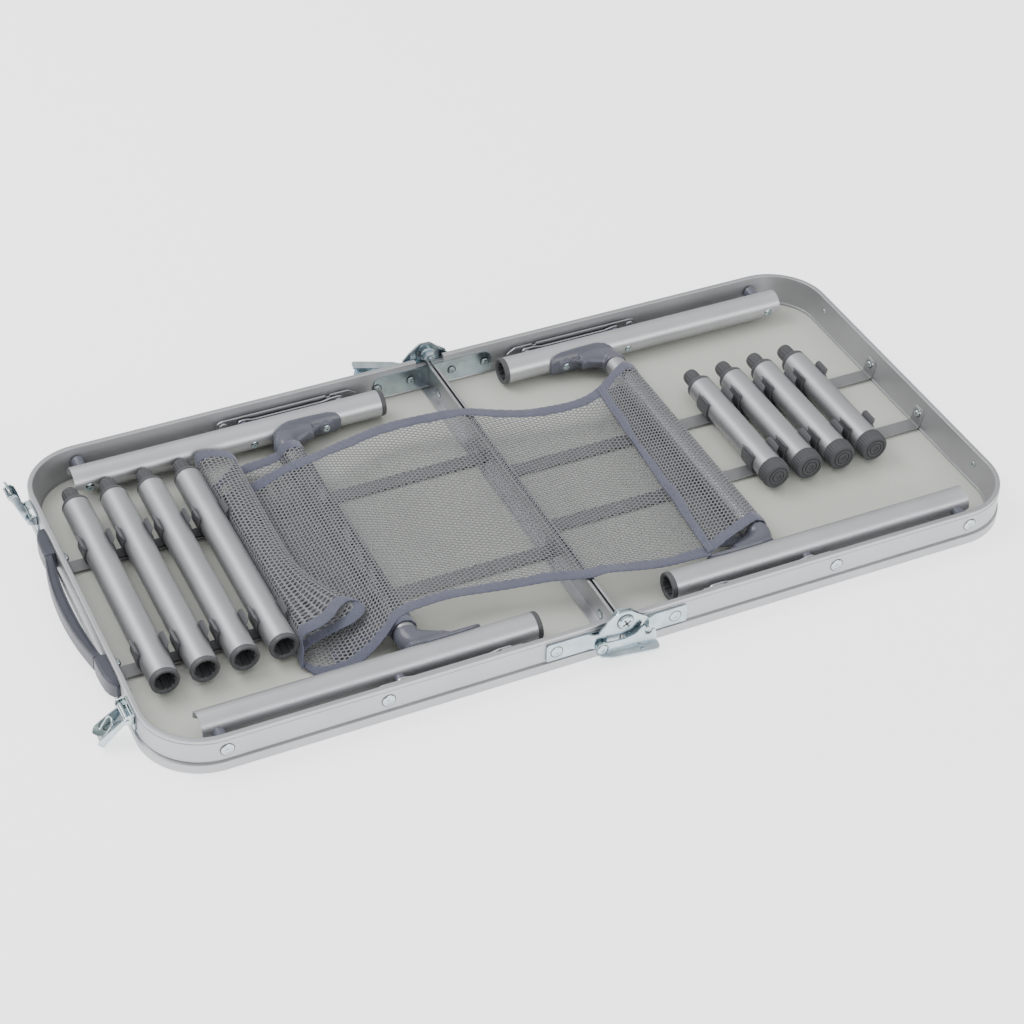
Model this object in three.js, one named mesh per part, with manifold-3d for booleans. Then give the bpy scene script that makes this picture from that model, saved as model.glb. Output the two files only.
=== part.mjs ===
// Folding suitcase table, lying open with its table top down and its underside up.
// Millimetres, +Z up, X along the table, +X to the half without the handle.
// The table top rests on z = 0. Pieces are drawn once, for the quarter where X and Y are
// positive, and mirrored to the quarter where they belong.
import * as THREE from "three";
import { mergeVertices } from "three/addons/utils/BufferGeometryUtils.js";
import Module from "manifold-3d";

const wasm = await Module();
wasm.setup();

// ---- driving dimensions ----
const LENGTH = 800;
const WIDTH = 400;
const RIM_HEIGHT = 34.5;
const CORNER_RADIUS = 55;
const FOLD_HEIGHT = 36; // height of the centre hinge pins, just above the rims
const GAP = 0.3; // between pieces that touch
const TUBE_RADIUS = 12.5; // legs and extensions
const END_X = LENGTH / 2;
const SIDE_Y = WIDTH / 2;

// rim section, as offsets from the outer wall (outwards is positive) and heights
const WALL = 1.6;
const HEM_WIDTH = 4;
const HEM_DEPTH = 3;
const BAND_PROUD = 1.7;
const BAND_TOP = 9.4;
const LEDGE_WIDTH = 9;
const LIP_TOP = 1.4;
const LEDGE_BOTTOM = 5.4;
const LEDGE_TOP = 6.6;

// the two halves meet at x = 0
const HALF_GAP = 0.6;
const RAIL_TOP = 31;
const RAIL_FACE = HALF_GAP + WALL;

const BOARD_BOTTOM = LIP_TOP + GAP;
const BOARD_TOP = LEDGE_BOTTOM - GAP;

const STRAP_Y = { left: 71, right: 42 };
const STRAP_WIDTH = 15;
const STRAP_THICK = 1.2;
const STRAP_BOTTOM = LEDGE_TOP + GAP;
const STRAP_TOP = STRAP_BOTTOM + STRAP_THICK;
const STRAP_TAB_TOP = 25;

// stored leg extensions, four on each half, along Y
const STORE_COUNT = 4;
const STORE_PITCH = 34;
const STORE_HEIGHT = 22;
const LONG_FIRST_X = 262; // on the left half, measured towards the end
const SHORT_FIRST_X = 222; // on the right half
const LONG_TUBE = [-110, 128];
const SHORT_TUBE = [-56, 68];
const SPIGOT_RADIUS = 8.2;
const SPIGOT_LENGTH = 24;
const FOOT_RADIUS = 13.5;
const FOOT_LENGTH = 20;
const SOCKET_RADIUS = 8.5;

const CLIP_WIDTH = 13;
const CLIP_INNER = TUBE_RADIUS + 0.5;
const CLIP_OUTER = CLIP_INNER + 2;
const CLIP_TOP = 29;

// legs, folded flat along the long sides
const LEG_Y = 167;
const LEG_HEIGHT = 21;
const LEG_PIVOT_X = 344;
const LEG_TAIL = 13; // past the pivot
const LEG_SOCKET_X = 61;
const LEG_PIN_X = 190; // where the stay meets the leg
const TUBE_WALL = 1.2;
const SOCKET_DEPTH = 34; // the insert in the tube's end

const CROSS_X = 165;
const CROSS_RADIUS = 10;
const CROSS_HALF = 134;
const ELBOW_RADIUS = 9;
const ELBOW_SADDLE = [108, 150];

// two-link stays: straight when the leg stands, folded flat when it is stowed
const STAY_RIM_X = 208;
const PIN_REACH = LEG_PIVOT_X - LEG_PIN_X;
const RIM_REACH = LEG_PIVOT_X - STAY_RIM_X;
const STAY_SPAN = Math.hypot(PIN_REACH, RIM_REACH);
const LINK_RIM = (STAY_SPAN + STAY_RIM_X - LEG_PIN_X) / 2;
const STAY_MID_X = STAY_RIM_X - LINK_RIM;
const LINK_THICK = 1.6;
const LINK_RIM_Y = 188;
const LINK_LEG_Y = 184.6;
const LINK_TAIL = 14;

// centre hinges, on the outside of the long walls
const PLATE = { z0: 12, z1: 29.5, thick: 1.8, left: 69, right: 61, inner: 3 };
const EAR_RADIUS = 10.5;
const EAR_LAYER = [202.4, 204.3]; // right plate's ear, under the left plate's
const HUMP_LAYER = [204.6, 206.4];
const PIN_RADIUS = 3;
const PIN_HEAD_RADIUS = 6;
const PIN_HEAD_TOP = 208.8;
const STUD = { x: 20.5, z: 22, radius: 2.6, top: 208.8 };
const LEVER_PIVOT = { x: -22, z: 16 };
const LEVER_LAYER = [209.2, 210.8];
const LEVER_FLANGE_Y = 217;
const LEVER_OPEN_DEG = 170;

// handle and latches, on the left end wall
const HANDLE_HALF = 68;
const HANDLE_MOUNT_END = 106;
const HANDLE_Z = [13, 31];
const LATCH_Y = 133;
const LATCH_WIDTH = 24;
const LATCH_PIVOT = { x: 406.5, z: 26 };
const LATCH_LENGTH = 32;
const LATCH_OUT_DEG = { front: 132, back: 22 }; // from straight up, outwards
const HOOK_AT = 25;
const HOOK_LENGTH = 17;
const HOOK_FOLD_DEG = { front: 165, back: 0 };

// netting, as plain soft solids
const NET_THICK = 1.2;

// ---- materials ----
const metal = (color, roughness) =>
  new THREE.MeshStandardMaterial({ color, roughness, metalness: 0.9 });
const dull = (color, roughness) =>
  new THREE.MeshStandardMaterial({ color, roughness, metalness: 0 });
const ALUMINIUM = metal(0xb9bcbf, 0.4);
const ZINC = metal(0xc0ccd1, 0.3);
const PAINTED = dull(0x9b9d9e, 0.5);
const LAMINATE = dull(0xc4c5bd, 0.6);
const DARK_PLASTIC = dull(0x66676b, 0.6);
const GREY_PLASTIC = dull(0x777985, 0.35);
const NETTING = dull(0x8f9094, 0.9);

const table = new THREE.Group();

// ---- solid helpers ----
function toSolid(geometry) {
  const bare = geometry.index ? geometry.toNonIndexed() : geometry.clone();
  bare.deleteAttribute("normal");
  bare.deleteAttribute("uv");
  const merged = mergeVertices(bare, 1e-4);
  return new wasm.Manifold(
    new wasm.Mesh({
      numProp: 3,
      vertProperties: new Float32Array(merged.attributes.position.array),
      triVerts: new Uint32Array(merged.index.array),
    }),
  );
}

function toGeometry(solid) {
  const mesh = solid.getMesh();
  const geometry = new THREE.BufferGeometry();
  geometry.setAttribute("position", new THREE.BufferAttribute(mesh.vertProperties, 3));
  geometry.setIndex(new THREE.BufferAttribute(mesh.triVerts, 1));
  return geometry;
}

function join(...pieces) {
  return toGeometry(pieces.map(toSolid).reduce((a, b) => a.add(b)));
}

function cut(piece, ...holes) {
  return toGeometry(holes.map(toSolid).reduce((a, b) => a.subtract(b), toSolid(piece)));
}

function box(x0, x1, y0, y1, z0, z1) {
  const geometry = new THREE.BoxGeometry(x1 - x0, y1 - y0, z1 - z0);
  return geometry.translate((x0 + x1) / 2, (y0 + y1) / 2, (z0 + z1) / 2);
}

// A flat shape in X and Y, from height z0 to z1.
function slab(shape, z0, z1, curveSegments = 8) {
  const settings = { depth: z1 - z0, bevelEnabled: false, curveSegments };
  return new THREE.ExtrudeGeometry(shape, settings).translate(0, 0, z0);
}

// A flat shape in X and Z, from y0 to y1.
function plate(shape, y0, y1, curveSegments = 8) {
  const settings = { depth: y1 - y0, bevelEnabled: false, curveSegments };
  const geometry = new THREE.ExtrudeGeometry(shape, settings);
  return geometry.rotateX(Math.PI / 2).translate(0, y1, 0);
}

function polygon(points) {
  return new THREE.Shape(points.map(([a, b]) => new THREE.Vector2(a, b)));
}

function rodAlongY(x, z, radius, y0, y1, sides = 14) {
  const geometry = new THREE.CylinderGeometry(radius, radius, y1 - y0, sides);
  return geometry.translate(x, (y0 + y1) / 2, z);
}

function rodAlongX(y, z, radius, x0, x1, sides = 16) {
  const geometry = new THREE.CylinderGeometry(radius, radius, x1 - x0, sides);
  return geometry.rotateZ(Math.PI / 2).translate((x0 + x1) / 2, y, z);
}

// A bar with round ends, between two points in X and Z.
function bar(x0, x1, z, halfWidth, y0, y1) {
  const shape = new THREE.Shape();
  shape.absarc(x1, z, halfWidth, -Math.PI / 2, Math.PI / 2, false);
  shape.absarc(x0, z, halfWidth, Math.PI / 2, (3 * Math.PI) / 2, false);
  return plate(shape, y0, y1, 6);
}

// Turns a piece about an axis along Y through (x, z); positive takes +X towards -Z.
function turned(geometry, x, z, degrees) {
  geometry.translate(-x, 0, -z);
  geometry.rotateY(THREE.MathUtils.degToRad(degrees));
  return geometry.translate(x, 0, z);
}

// Mirrors a piece into the quarter with the given signs of X and Y.
function mirrored(geometry, signX, signY) {
  const copy = geometry.index ? geometry.toNonIndexed() : geometry.clone();
  copy.scale(signX, signY, 1);
  if (signX * signY < 0) {
    const p = copy.attributes.position.array;
    for (let i = 0; i < p.length; i += 9) {
      for (let k = 0; k < 3; k++) [p[i + 3 + k], p[i + 6 + k]] = [p[i + 6 + k], p[i + 3 + k]];
    }
  }
  return copy;
}

function add(name, geometry, material) {
  const mesh = new THREE.Mesh(geometry, material);
  mesh.name = name;
  table.add(mesh);
}

const HALVES = [
  ["left", -1],
  ["right", 1],
];
const SIDES = [
  ["front", -1],
  ["back", 1],
];

// ---- rims, rails and boards ----
// One side of the rounded outline, offset outwards from the outer wall, as points from back to front.
function traceOutline(shape, offset, startX, reverse) {
  const r = CORNER_RADIUS + offset;
  const cx = END_X - CORNER_RADIUS;
  const cy = SIDE_Y - CORNER_RADIUS;
  const quarter = Math.PI / 2;
  if (reverse) {
    shape.lineTo(startX, -SIDE_Y - offset);
    shape.absarc(cx, -cy, r, -quarter, 0, false);
    shape.absarc(cx, cy, r, 0, quarter, false);
    shape.lineTo(startX, SIDE_Y + offset);
  } else {
    shape.moveTo(startX, SIDE_Y + offset);
    shape.lineTo(cx - r, SIDE_Y + offset);
    shape.absarc(cx, cy, r, quarter, 0, true);
    shape.absarc(cx, -cy, r, 0, -quarter, true);
    shape.lineTo(startX, -SIDE_Y - offset);
  }
}

function rimLayer(outer, inner, z0, z1, startX = HALF_GAP) {
  const shape = new THREE.Shape();
  traceOutline(shape, outer, startX, false);
  traceOutline(shape, inner, startX, true);
  return slab(shape, z0, z1);
}

function halfRim() {
  const besideRail = RAIL_FACE + GAP;
  return join(
    rimLayer(0, -WALL, 0, RIM_HEIGHT),
    rimLayer(0, -HEM_WIDTH, RIM_HEIGHT - HEM_DEPTH, RIM_HEIGHT),
    rimLayer(BAND_PROUD, -WALL / 2, 0.8, BAND_TOP),
    rimLayer(0.6, -WALL / 2, 0, BAND_TOP + 0.8),
    rimLayer(-WALL / 2, -LEDGE_WIDTH, 0, LIP_TOP, besideRail),
    rimLayer(-WALL / 2, -LEDGE_WIDTH, LEDGE_BOTTOM, LEDGE_TOP, besideRail),
  );
}

// The board's edge, under the lips, is a little thinner than the face they frame.
function halfBoard() {
  const whole = new THREE.Shape();
  traceOutline(whole, -WALL - 0.4, RAIL_FACE + 0.4, false);
  const face = new THREE.Shape();
  traceOutline(face, -LEDGE_WIDTH - 0.4, RAIL_FACE + LEDGE_WIDTH + 0.4, false);
  return join(
    slab(whole, BOARD_BOTTOM + 0.2, BOARD_TOP),
    slab(face, BOARD_BOTTOM, BOARD_TOP - 0.5),
  );
}

function centreRail() {
  const wallY = SIDE_Y - WALL - GAP;
  const ledgeY = SIDE_Y - LEDGE_WIDTH - GAP;
  const ledgeX = RAIL_FACE + LEDGE_WIDTH;
  return join(
    box(HALF_GAP, RAIL_FACE, -wallY, wallY, 0, RAIL_TOP),
    box(HALF_GAP, ledgeX, -ledgeY, ledgeY, 0, LIP_TOP),
    box(HALF_GAP, ledgeX, -ledgeY, ledgeY, LEDGE_BOTTOM, LEDGE_TOP),
  );
}

for (const [half, sign] of HALVES) {
  add("rim_" + half, mirrored(halfRim(), sign, 1), ALUMINIUM);
  add("board_" + half, mirrored(halfBoard(), sign, 1), LAMINATE);
  add("centre_rail_" + half, mirrored(centreRail(), sign, 1), ALUMINIUM);
}

// ---- straps, clips and stored extensions ----
function strap(y) {
  const x0 = RAIL_FACE + GAP;
  const x1 = END_X - WALL - GAP;
  const shape = polygon([
    [x0, STRAP_BOTTOM],
    [x1, STRAP_BOTTOM],
    [x1, STRAP_TAB_TOP],
    [x1 - STRAP_THICK, STRAP_TAB_TOP],
    [x1 - STRAP_THICK, STRAP_TOP],
    [x0 + STRAP_THICK, STRAP_TOP],
    [x0 + STRAP_THICK, STRAP_TAB_TOP],
    [x0, STRAP_TAB_TOP],
  ]);
  return plate(shape, y - STRAP_WIDTH / 2, y + STRAP_WIDTH / 2);
}

// A strip of open cradles in a row, one for each stored tube.
function clipRow(firstX, y) {
  const bottom = STRAP_TOP + GAP;
  const bridge = bottom + 2.4;
  const shape = new THREE.Shape();
  shape.moveTo(firstX - CLIP_OUTER, bottom);
  for (let i = 0; i < STORE_COUNT; i++) {
    const x = firstX + i * STORE_PITCH;
    if (i > 0) shape.lineTo(x - CLIP_OUTER, bridge);
    shape.lineTo(x - CLIP_OUTER, CLIP_TOP);
    shape.lineTo(x - CLIP_INNER, CLIP_TOP);
    shape.absarc(x, STORE_HEIGHT, CLIP_INNER, Math.PI, 2 * Math.PI, false);
    shape.lineTo(x + CLIP_INNER, CLIP_TOP);
    shape.lineTo(x + CLIP_OUTER, CLIP_TOP);
    if (i < STORE_COUNT - 1) shape.lineTo(x + CLIP_OUTER, bridge);
  }
  shape.lineTo(firstX + (STORE_COUNT - 1) * STORE_PITCH + CLIP_OUTER, bottom);
  return plate(shape, y - CLIP_WIDTH / 2, y + CLIP_WIDTH / 2, 12);
}

// A turned piece: the profile lists radius and place along Y, and starts and ends on the axis.
function lathedAlongY(profile, x, z, sides = 16) {
  const points = profile.map(([r, y]) => new THREE.Vector2(r, y));
  return new THREE.LatheGeometry(points, sides).translate(x, 0, z);
}

function spigotProfile(y) {
  const collar = y + 3.5;
  const tip = y + SPIGOT_LENGTH;
  return [
    [TUBE_RADIUS, y],
    [TUBE_RADIUS - 1.2, collar],
    [SPIGOT_RADIUS, collar + 2],
    [SPIGOT_RADIUS, tip - 1.5],
    [SPIGOT_RADIUS - 1.5, tip],
    [0, tip],
  ];
}

// Hollow from its socket end nearly to its spigot.
function longExtension(x) {
  const [y0, y1] = LONG_TUBE;
  const hollowEnd = y1 - 8;
  const socket = [
    [0, hollowEnd],
    [SOCKET_RADIUS, hollowEnd],
    [SOCKET_RADIUS, y0],
    [TUBE_RADIUS, y0],
  ];
  return lathedAlongY([...socket, ...spigotProfile(y1)], x, STORE_HEIGHT);
}

function shortExtension(x) {
  const [y0, y1] = SHORT_TUBE;
  const foot = [
    [0, y0 - FOOT_LENGTH],
    [FOOT_RADIUS - 2, y0 - FOOT_LENGTH],
    [FOOT_RADIUS, y0 - FOOT_LENGTH + 2],
    [FOOT_RADIUS, y0 - 1],
    [TUBE_RADIUS, y0],
  ];
  return lathedAlongY([...foot, ...spigotProfile(y1)], x, STORE_HEIGHT);
}

for (const [half, sign] of HALVES) {
  const firstX = half === "left" ? LONG_FIRST_X : SHORT_FIRST_X;
  const make = half === "left" ? longExtension : shortExtension;
  const length = half === "left" ? "long" : "short";
  for (const [side, signY] of SIDES) {
    const y = signY * STRAP_Y[half];
    add(`strap_${half}_${side}`, mirrored(strap(y), sign, 1), PAINTED);
    add(`clip_row_${half}_${side}`, mirrored(clipRow(firstX, y), sign, 1), DARK_PLASTIC);
  }
  for (let i = 0; i < STORE_COUNT; i++) {
    const tube = make(firstX + i * STORE_PITCH);
    add(`extension_${length}_${i + 1}`, mirrored(tube, sign, 1), ALUMINIUM);
  }
}

// ---- legs, cross tubes and elbows ----
function leg() {
  const tail = LEG_PIVOT_X + LEG_TAIL;
  const tube = join(
    rodAlongX(LEG_Y, LEG_HEIGHT, TUBE_RADIUS, LEG_SOCKET_X, tail),
    rodAlongY(LEG_PIVOT_X, LEG_HEIGHT, 6, LEG_Y, SIDE_Y - WALL - GAP),
    rodAlongY(LEG_PIN_X, LEG_HEIGHT, 3.5, LEG_Y, LINK_LEG_Y - 0.4),
  );
  const plugEnd = LEG_SOCKET_X + SOCKET_DEPTH;
  const notch = [LEG_PIVOT_X + 5, tail + 1, LEG_Y - 14, LEG_Y + 14];
  return cut(
    tube,
    rodAlongX(LEG_Y, LEG_HEIGHT, TUBE_RADIUS - TUBE_WALL, plugEnd, tail + 1),
    rodAlongX(LEG_Y, LEG_HEIGHT, SOCKET_RADIUS, LEG_SOCKET_X - 1, plugEnd + 1),
    box(...notch, LEG_HEIGHT - 14, LEG_HEIGHT - 1),
  );
}

function elbow() {
  const bend = new THREE.QuadraticBezierCurve3(
    new THREE.Vector3(CROSS_X, CROSS_HALF + GAP, LEG_HEIGHT),
    new THREE.Vector3(CROSS_X, LEG_Y - 17, LEG_HEIGHT),
    new THREE.Vector3(CROSS_X - 26, LEG_Y - 17, LEG_HEIGHT),
  );
  const section = new THREE.Shape();
  section.absarc(0, 0, ELBOW_RADIUS, 0, 2 * Math.PI, false);
  const settings = { extrudePath: bend, steps: 7, bevelEnabled: false, curveSegments: 12 };
  const [x0, x1] = ELBOW_SADDLE;
  const inner = LEG_Y - TUBE_RADIUS - 7;
  const web = polygon([
    [x0 + 8, inner + 2],
    [CROSS_X - 5, CROSS_HALF + 6],
    [CROSS_X - 5, inner + 2],
  ]);
  const body = join(
    new THREE.ExtrudeGeometry(section, settings),
    box(x0, x1, inner, LEG_Y - 6, LEG_HEIGHT - ELBOW_RADIUS, LEG_HEIGHT + ELBOW_RADIUS),
    slab(web, LEG_HEIGHT - 2, LEG_HEIGHT + 2),
  );
  const clearance = TUBE_RADIUS + GAP;
  return cut(body, rodAlongX(LEG_Y, LEG_HEIGHT, clearance, x0 - 20, CROSS_X + 30, 32));
}

for (const [half, sign] of HALVES) {
  const tube = rodAlongY(CROSS_X, LEG_HEIGHT, CROSS_RADIUS, -CROSS_HALF, CROSS_HALF, 16);
  add(`cross_tube_${half}`, mirrored(tube, sign, 1), ALUMINIUM);
  for (const [side, signY] of SIDES) {
    add(`leg_${half}_${side}`, mirrored(leg(), sign, signY), ALUMINIUM);
    add(`elbow_${half}_${side}`, mirrored(elbow(), sign, signY), GREY_PLASTIC);
  }
}

// ---- two-link stays ----
// The rim link turns on the rim wall and carries the joint between the links.
function rimLink() {
  const outerY = LINK_RIM_Y + LINK_THICK;
  return join(
    bar(STAY_MID_X - LINK_TAIL, STAY_RIM_X, LEG_HEIGHT, 6.5, LINK_RIM_Y, outerY),
    rodAlongY(STAY_RIM_X, LEG_HEIGHT, 4.5, outerY - 0.5, SIDE_Y - WALL - GAP, 10),
    rodAlongY(STAY_MID_X, LEG_HEIGHT, 3.5, LINK_LEG_Y + LINK_THICK + GAP, LINK_RIM_Y + 0.5, 10),
  );
}

function legLink() {
  return bar(STAY_MID_X, LEG_PIN_X, LEG_HEIGHT, 5, LINK_LEG_Y, LINK_LEG_Y + LINK_THICK);
}

for (const [half, sign] of HALVES) {
  for (const [side, signY] of SIDES) {
    add(`stay_rim_link_${half}_${side}`, mirrored(rimLink(), sign, signY), ALUMINIUM);
    add(`stay_leg_link_${half}_${side}`, mirrored(legLink(), sign, signY), ALUMINIUM);
  }
}

// ---- centre hinges ----
function flatPlate(x0, x1) {
  const { z0, z1, thick } = PLATE;
  const y0 = SIDE_Y + GAP;
  return box(x0, x1, y0, y0 + thick, z0, z1);
}

// The left plate steps out to a humped ear that carries the pin.
function hingePlateLeft() {
  const [y0, y1] = HUMP_LAYER;
  const hump = new THREE.Shape();
  hump.moveTo(-31, 22.5);
  hump.lineTo(-31, 29.5);
  hump.lineTo(-26, 30);
  hump.absarc(0, FOLD_HEIGHT, EAR_RADIUS + 1, Math.PI * 0.72, Math.PI * 0.28, true);
  hump.lineTo(20, 32);
  hump.lineTo(16, 28);
  hump.lineTo(-8, 23.5);
  return join(
    flatPlate(-PLATE.left, -PLATE.inner),
    box(-31, -27.2, SIDE_Y + GAP, y1, 14, PLATE.z1),
    plate(hump, y0, y1, 6),
    rodAlongY(0, FOLD_HEIGHT, PIN_RADIUS, SIDE_Y + GAP, PIN_HEAD_TOP, 12),
    rodAlongY(0, FOLD_HEIGHT, PIN_HEAD_RADIUS, y1 - 0.3, PIN_HEAD_TOP, 14),
  );
}

// The right plate's ear turns on the pin and carries the stud that the lock lever covers.
function hingePlateRight() {
  const [y0, y1] = EAR_LAYER;
  const ear = new THREE.Shape();
  ear.moveTo(PLATE.inner, 26);
  ear.absarc(0, FOLD_HEIGHT, EAR_RADIUS, Math.PI * 1.3, Math.PI * 0.1, true);
  ear.lineTo(24, 29.5);
  ear.lineTo(24, 14);
  ear.lineTo(6, 14);
  const body = join(
    flatPlate(PLATE.inner, PLATE.right),
    box(6, 24, SIDE_Y + GAP, y1, 14, PLATE.z1),
    plate(ear, y0, y1, 6),
    rodAlongY(STUD.x, STUD.z, STUD.radius, y1 - 0.3, STUD.top, 10),
  );
  return cut(body, rodAlongY(0, FOLD_HEIGHT, PIN_RADIUS + 0.4, SIDE_Y - 5, y1 + 5, 12));
}

// Drawn locked, lying along +X with its flange at the bottom.
function lockLever(openDegrees) {
  const [y0, y1] = LEVER_LAYER;
  const { x, z } = LEVER_PIVOT;
  const web = new THREE.Shape();
  web.moveTo(34, 4.5);
  web.lineTo(34, 12);
  web.lineTo(28, 17.5);
  web.lineTo(12, 18);
  web.absarc(x, z, 6.2, Math.PI * 0.5, Math.PI * 1.42, false);
  const flange = polygon([
    [34, 4.5],
    [34, 6.1],
    [-16, 10.9],
    [-16, 9.3],
  ]);
  const lever = join(
    plate(web, y0, y1, 6),
    plate(flange, y0, LEVER_FLANGE_Y),
    rodAlongY(x, z, 4.4, SIDE_Y + GAP + PLATE.thick + GAP, y1, 12),
  );
  return turned(lever, x, z, -openDegrees);
}

for (const [side, signY] of SIDES) {
  const open = side === "back" ? LEVER_OPEN_DEG : 0;
  add(`hinge_plate_left_${side}`, mirrored(hingePlateLeft(), 1, signY), ZINC);
  add(`hinge_plate_right_${side}`, mirrored(hingePlateRight(), 1, signY), ZINC);
  add(`lock_lever_${side}`, mirrored(lockLever(open), 1, signY), ZINC);
}

// ---- handle, drawn on a wall at +X ----
function handleMount() {
  const wall = END_X + GAP;
  const shape = polygon([
    [wall, HANDLE_HALF],
    [END_X + 10, HANDLE_HALF],
    [END_X + 9.4, HANDLE_MOUNT_END - 14],
    [END_X + 5, HANDLE_MOUNT_END - 2],
    [wall, HANDLE_MOUNT_END],
  ]);
  return slab(shape, ...HANDLE_Z);
}

function handleGrip() {
  const end = HANDLE_HALF - 0.4;
  const shape = new THREE.Shape();
  shape.moveTo(END_X + 5.6, end);
  shape.quadraticCurveTo(END_X + 13, 0, END_X + 5.6, -end);
  shape.lineTo(END_X + 10.4, -end);
  shape.quadraticCurveTo(END_X + 23, 0, END_X + 10.4, end);
  return slab(shape, HANDLE_Z[0] + 1, HANDLE_Z[1] - 1, 12);
}

for (const [side, signY] of SIDES) {
  add(`handle_mount_${side}`, mirrored(handleMount(), -1, signY), GREY_PLASTIC);
}
add("handle_grip", mirrored(handleGrip(), -1, 1), GREY_PLASTIC);

// ---- latches, drawn on a wall at +X ----
function latchBase() {
  const wall = END_X + GAP;
  const y0 = LATCH_Y - LATCH_WIDTH / 2;
  const y1 = LATCH_Y + LATCH_WIDTH / 2;
  const ear = (y) => box(wall, LATCH_PIVOT.x + 3, y, y + WALL, LATCH_PIVOT.z - 4, LATCH_PIVOT.z + 4);
  return join(box(wall, wall + 1.5, y0, y1, 13, 32), ear(y0), ear(y1 - WALL));
}

// A channel that points straight up before it is turned outwards.
function latchLever(outDegrees) {
  const { x, z } = LATCH_PIVOT;
  const half = LATCH_WIDTH / 2 - 3;
  const top = z + LATCH_LENGTH;
  const lever = join(
    rodAlongY(x, z, 2.6, LATCH_Y - half, LATCH_Y + half, 10),
    box(x + 2.6, x + 4, LATCH_Y - half, LATCH_Y + half, z - 1, top),
    box(x, x + 3, LATCH_Y - half, LATCH_Y - half + 1.4, z, top - 3),
    box(x, x + 3, LATCH_Y + half - 1.4, LATCH_Y + half, z, top - 3),
  );
  return turned(lever, x, z, outDegrees);
}

// The hook turns on the lever and folds back between its cheeks.
function latchHook(outDegrees, foldDegrees) {
  const { x, z } = LATCH_PIVOT;
  const pivotZ = z + HOOK_AT;
  const hook = join(
    rodAlongY(x, pivotZ, 1.6, LATCH_Y - 7.2, LATCH_Y + 7.2, 10),
    box(x - 0.8, x + 0.8, LATCH_Y - 5, LATCH_Y + 5, pivotZ, pivotZ + HOOK_LENGTH),
    box(x - 3.4, x + 0.8, LATCH_Y - 5, LATCH_Y + 5, pivotZ + HOOK_LENGTH - 1.6, pivotZ + HOOK_LENGTH),
  );
  return turned(turned(hook, x, pivotZ, -foldDegrees), x, z, outDegrees);
}

for (const [side, signY] of SIDES) {
  const out = LATCH_OUT_DEG[side];
  add(`latch_base_${side}`, mirrored(latchBase(), -1, signY), ZINC);
  add(`latch_lever_${side}`, mirrored(latchLever(out), -1, signY), ZINC);
  add(`latch_hook_${side}`, mirrored(latchHook(out, HOOK_FOLD_DEG[side]), -1, signY), ZINC);
}

// ---- netting ----
function netPanel(points, y0, y1) {
  const lower = points.map(([x, z]) => [x, z - NET_THICK]).reverse();
  return plate(polygon([...points, ...lower]), y0, y1);
}

function netSleeve() {
  const half = CROSS_HALF - 16;
  const ring = cut(
    rodAlongY(CROSS_X, LEG_HEIGHT, CROSS_RADIUS + 2.4, -half, half, 16),
    rodAlongY(CROSS_X, LEG_HEIGHT, CROSS_RADIUS + 0.9, -half - 1, half + 1, 16),
  );
  return join(ring, box(CROSS_X - 37, CROSS_X - 5, -half, half, 29.6, 29.6 + NET_THICK));
}

// The slack of the netting, folded in a pile beside the left cross tube.
function netFold() {
  const pile = polygon([
    [244, 12],
    [244, 30],
    [236, 34],
    [182, 34],
    [153, 33.2],
    [153, 32],
    [179, 31.6],
    [181, 12],
    [184, 10],
    [241, 10],
  ]);
  return plate(pile, -130, 120);
}

add("net_sleeve_right", netSleeve(), NETTING);
const rightPanel = netPanel([[0.8, 33], [40, 30], [90, 28], [126, 30]], -140, 98);
add("net_panel_right", rightPanel, NETTING);
const leftPanel = netPanel([[-150, 31], [-100, 28], [-40, 30], [-0.8, 33]], -118, 108);
add("net_panel_left", leftPanel, NETTING);
add("net_fold_left", mirrored(netFold(), -1, 1), NETTING);

// The frame's origin is under the middle of the outline.
const outline = new THREE.Box3().setFromObject(table, true);
table.position.x = -(outline.min.x + outline.max.x) / 2;

export default table;
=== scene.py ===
import math

import bmesh
import bpy
import numpy as np
from mathutils import Matrix, Vector


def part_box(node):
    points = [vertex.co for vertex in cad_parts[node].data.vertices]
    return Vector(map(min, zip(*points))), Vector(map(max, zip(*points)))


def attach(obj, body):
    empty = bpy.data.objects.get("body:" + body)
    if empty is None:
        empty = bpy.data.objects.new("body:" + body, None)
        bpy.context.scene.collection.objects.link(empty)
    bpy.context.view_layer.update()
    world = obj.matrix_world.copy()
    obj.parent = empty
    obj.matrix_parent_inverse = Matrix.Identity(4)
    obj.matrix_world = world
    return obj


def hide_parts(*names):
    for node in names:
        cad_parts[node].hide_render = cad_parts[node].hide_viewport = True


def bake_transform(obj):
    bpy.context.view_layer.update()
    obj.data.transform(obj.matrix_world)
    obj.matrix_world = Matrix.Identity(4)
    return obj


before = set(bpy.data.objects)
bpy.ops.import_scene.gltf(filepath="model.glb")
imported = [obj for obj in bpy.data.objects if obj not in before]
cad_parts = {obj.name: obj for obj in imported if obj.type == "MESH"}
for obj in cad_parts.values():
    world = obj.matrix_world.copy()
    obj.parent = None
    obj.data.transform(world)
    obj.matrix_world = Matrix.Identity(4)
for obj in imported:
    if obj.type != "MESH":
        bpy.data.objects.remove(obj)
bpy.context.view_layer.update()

# All sizes below are millimetres from the fold line between the two halves:
# X along the table, Y to the back, Z up from the face of the table top.
MM = 0.001
FOLD_X = 500 * (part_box("centre_rail_left")[1].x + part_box("centre_rail_right")[0].x)
END_X, SIDE_Y, CORNER = 400.0, 200.0, 55.0
LEG_Y, LEG_Z, LEG_R = 167.0, 21.0, 12.5
STORE_Z = 22.0
HALVES = (("left", -1), ("right", 1))
SIDES = (("front", -1), ("back", 1))


def place(x, y, z):
    return Vector(((x + FOLD_X) * MM, y * MM, z * MM))


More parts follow.
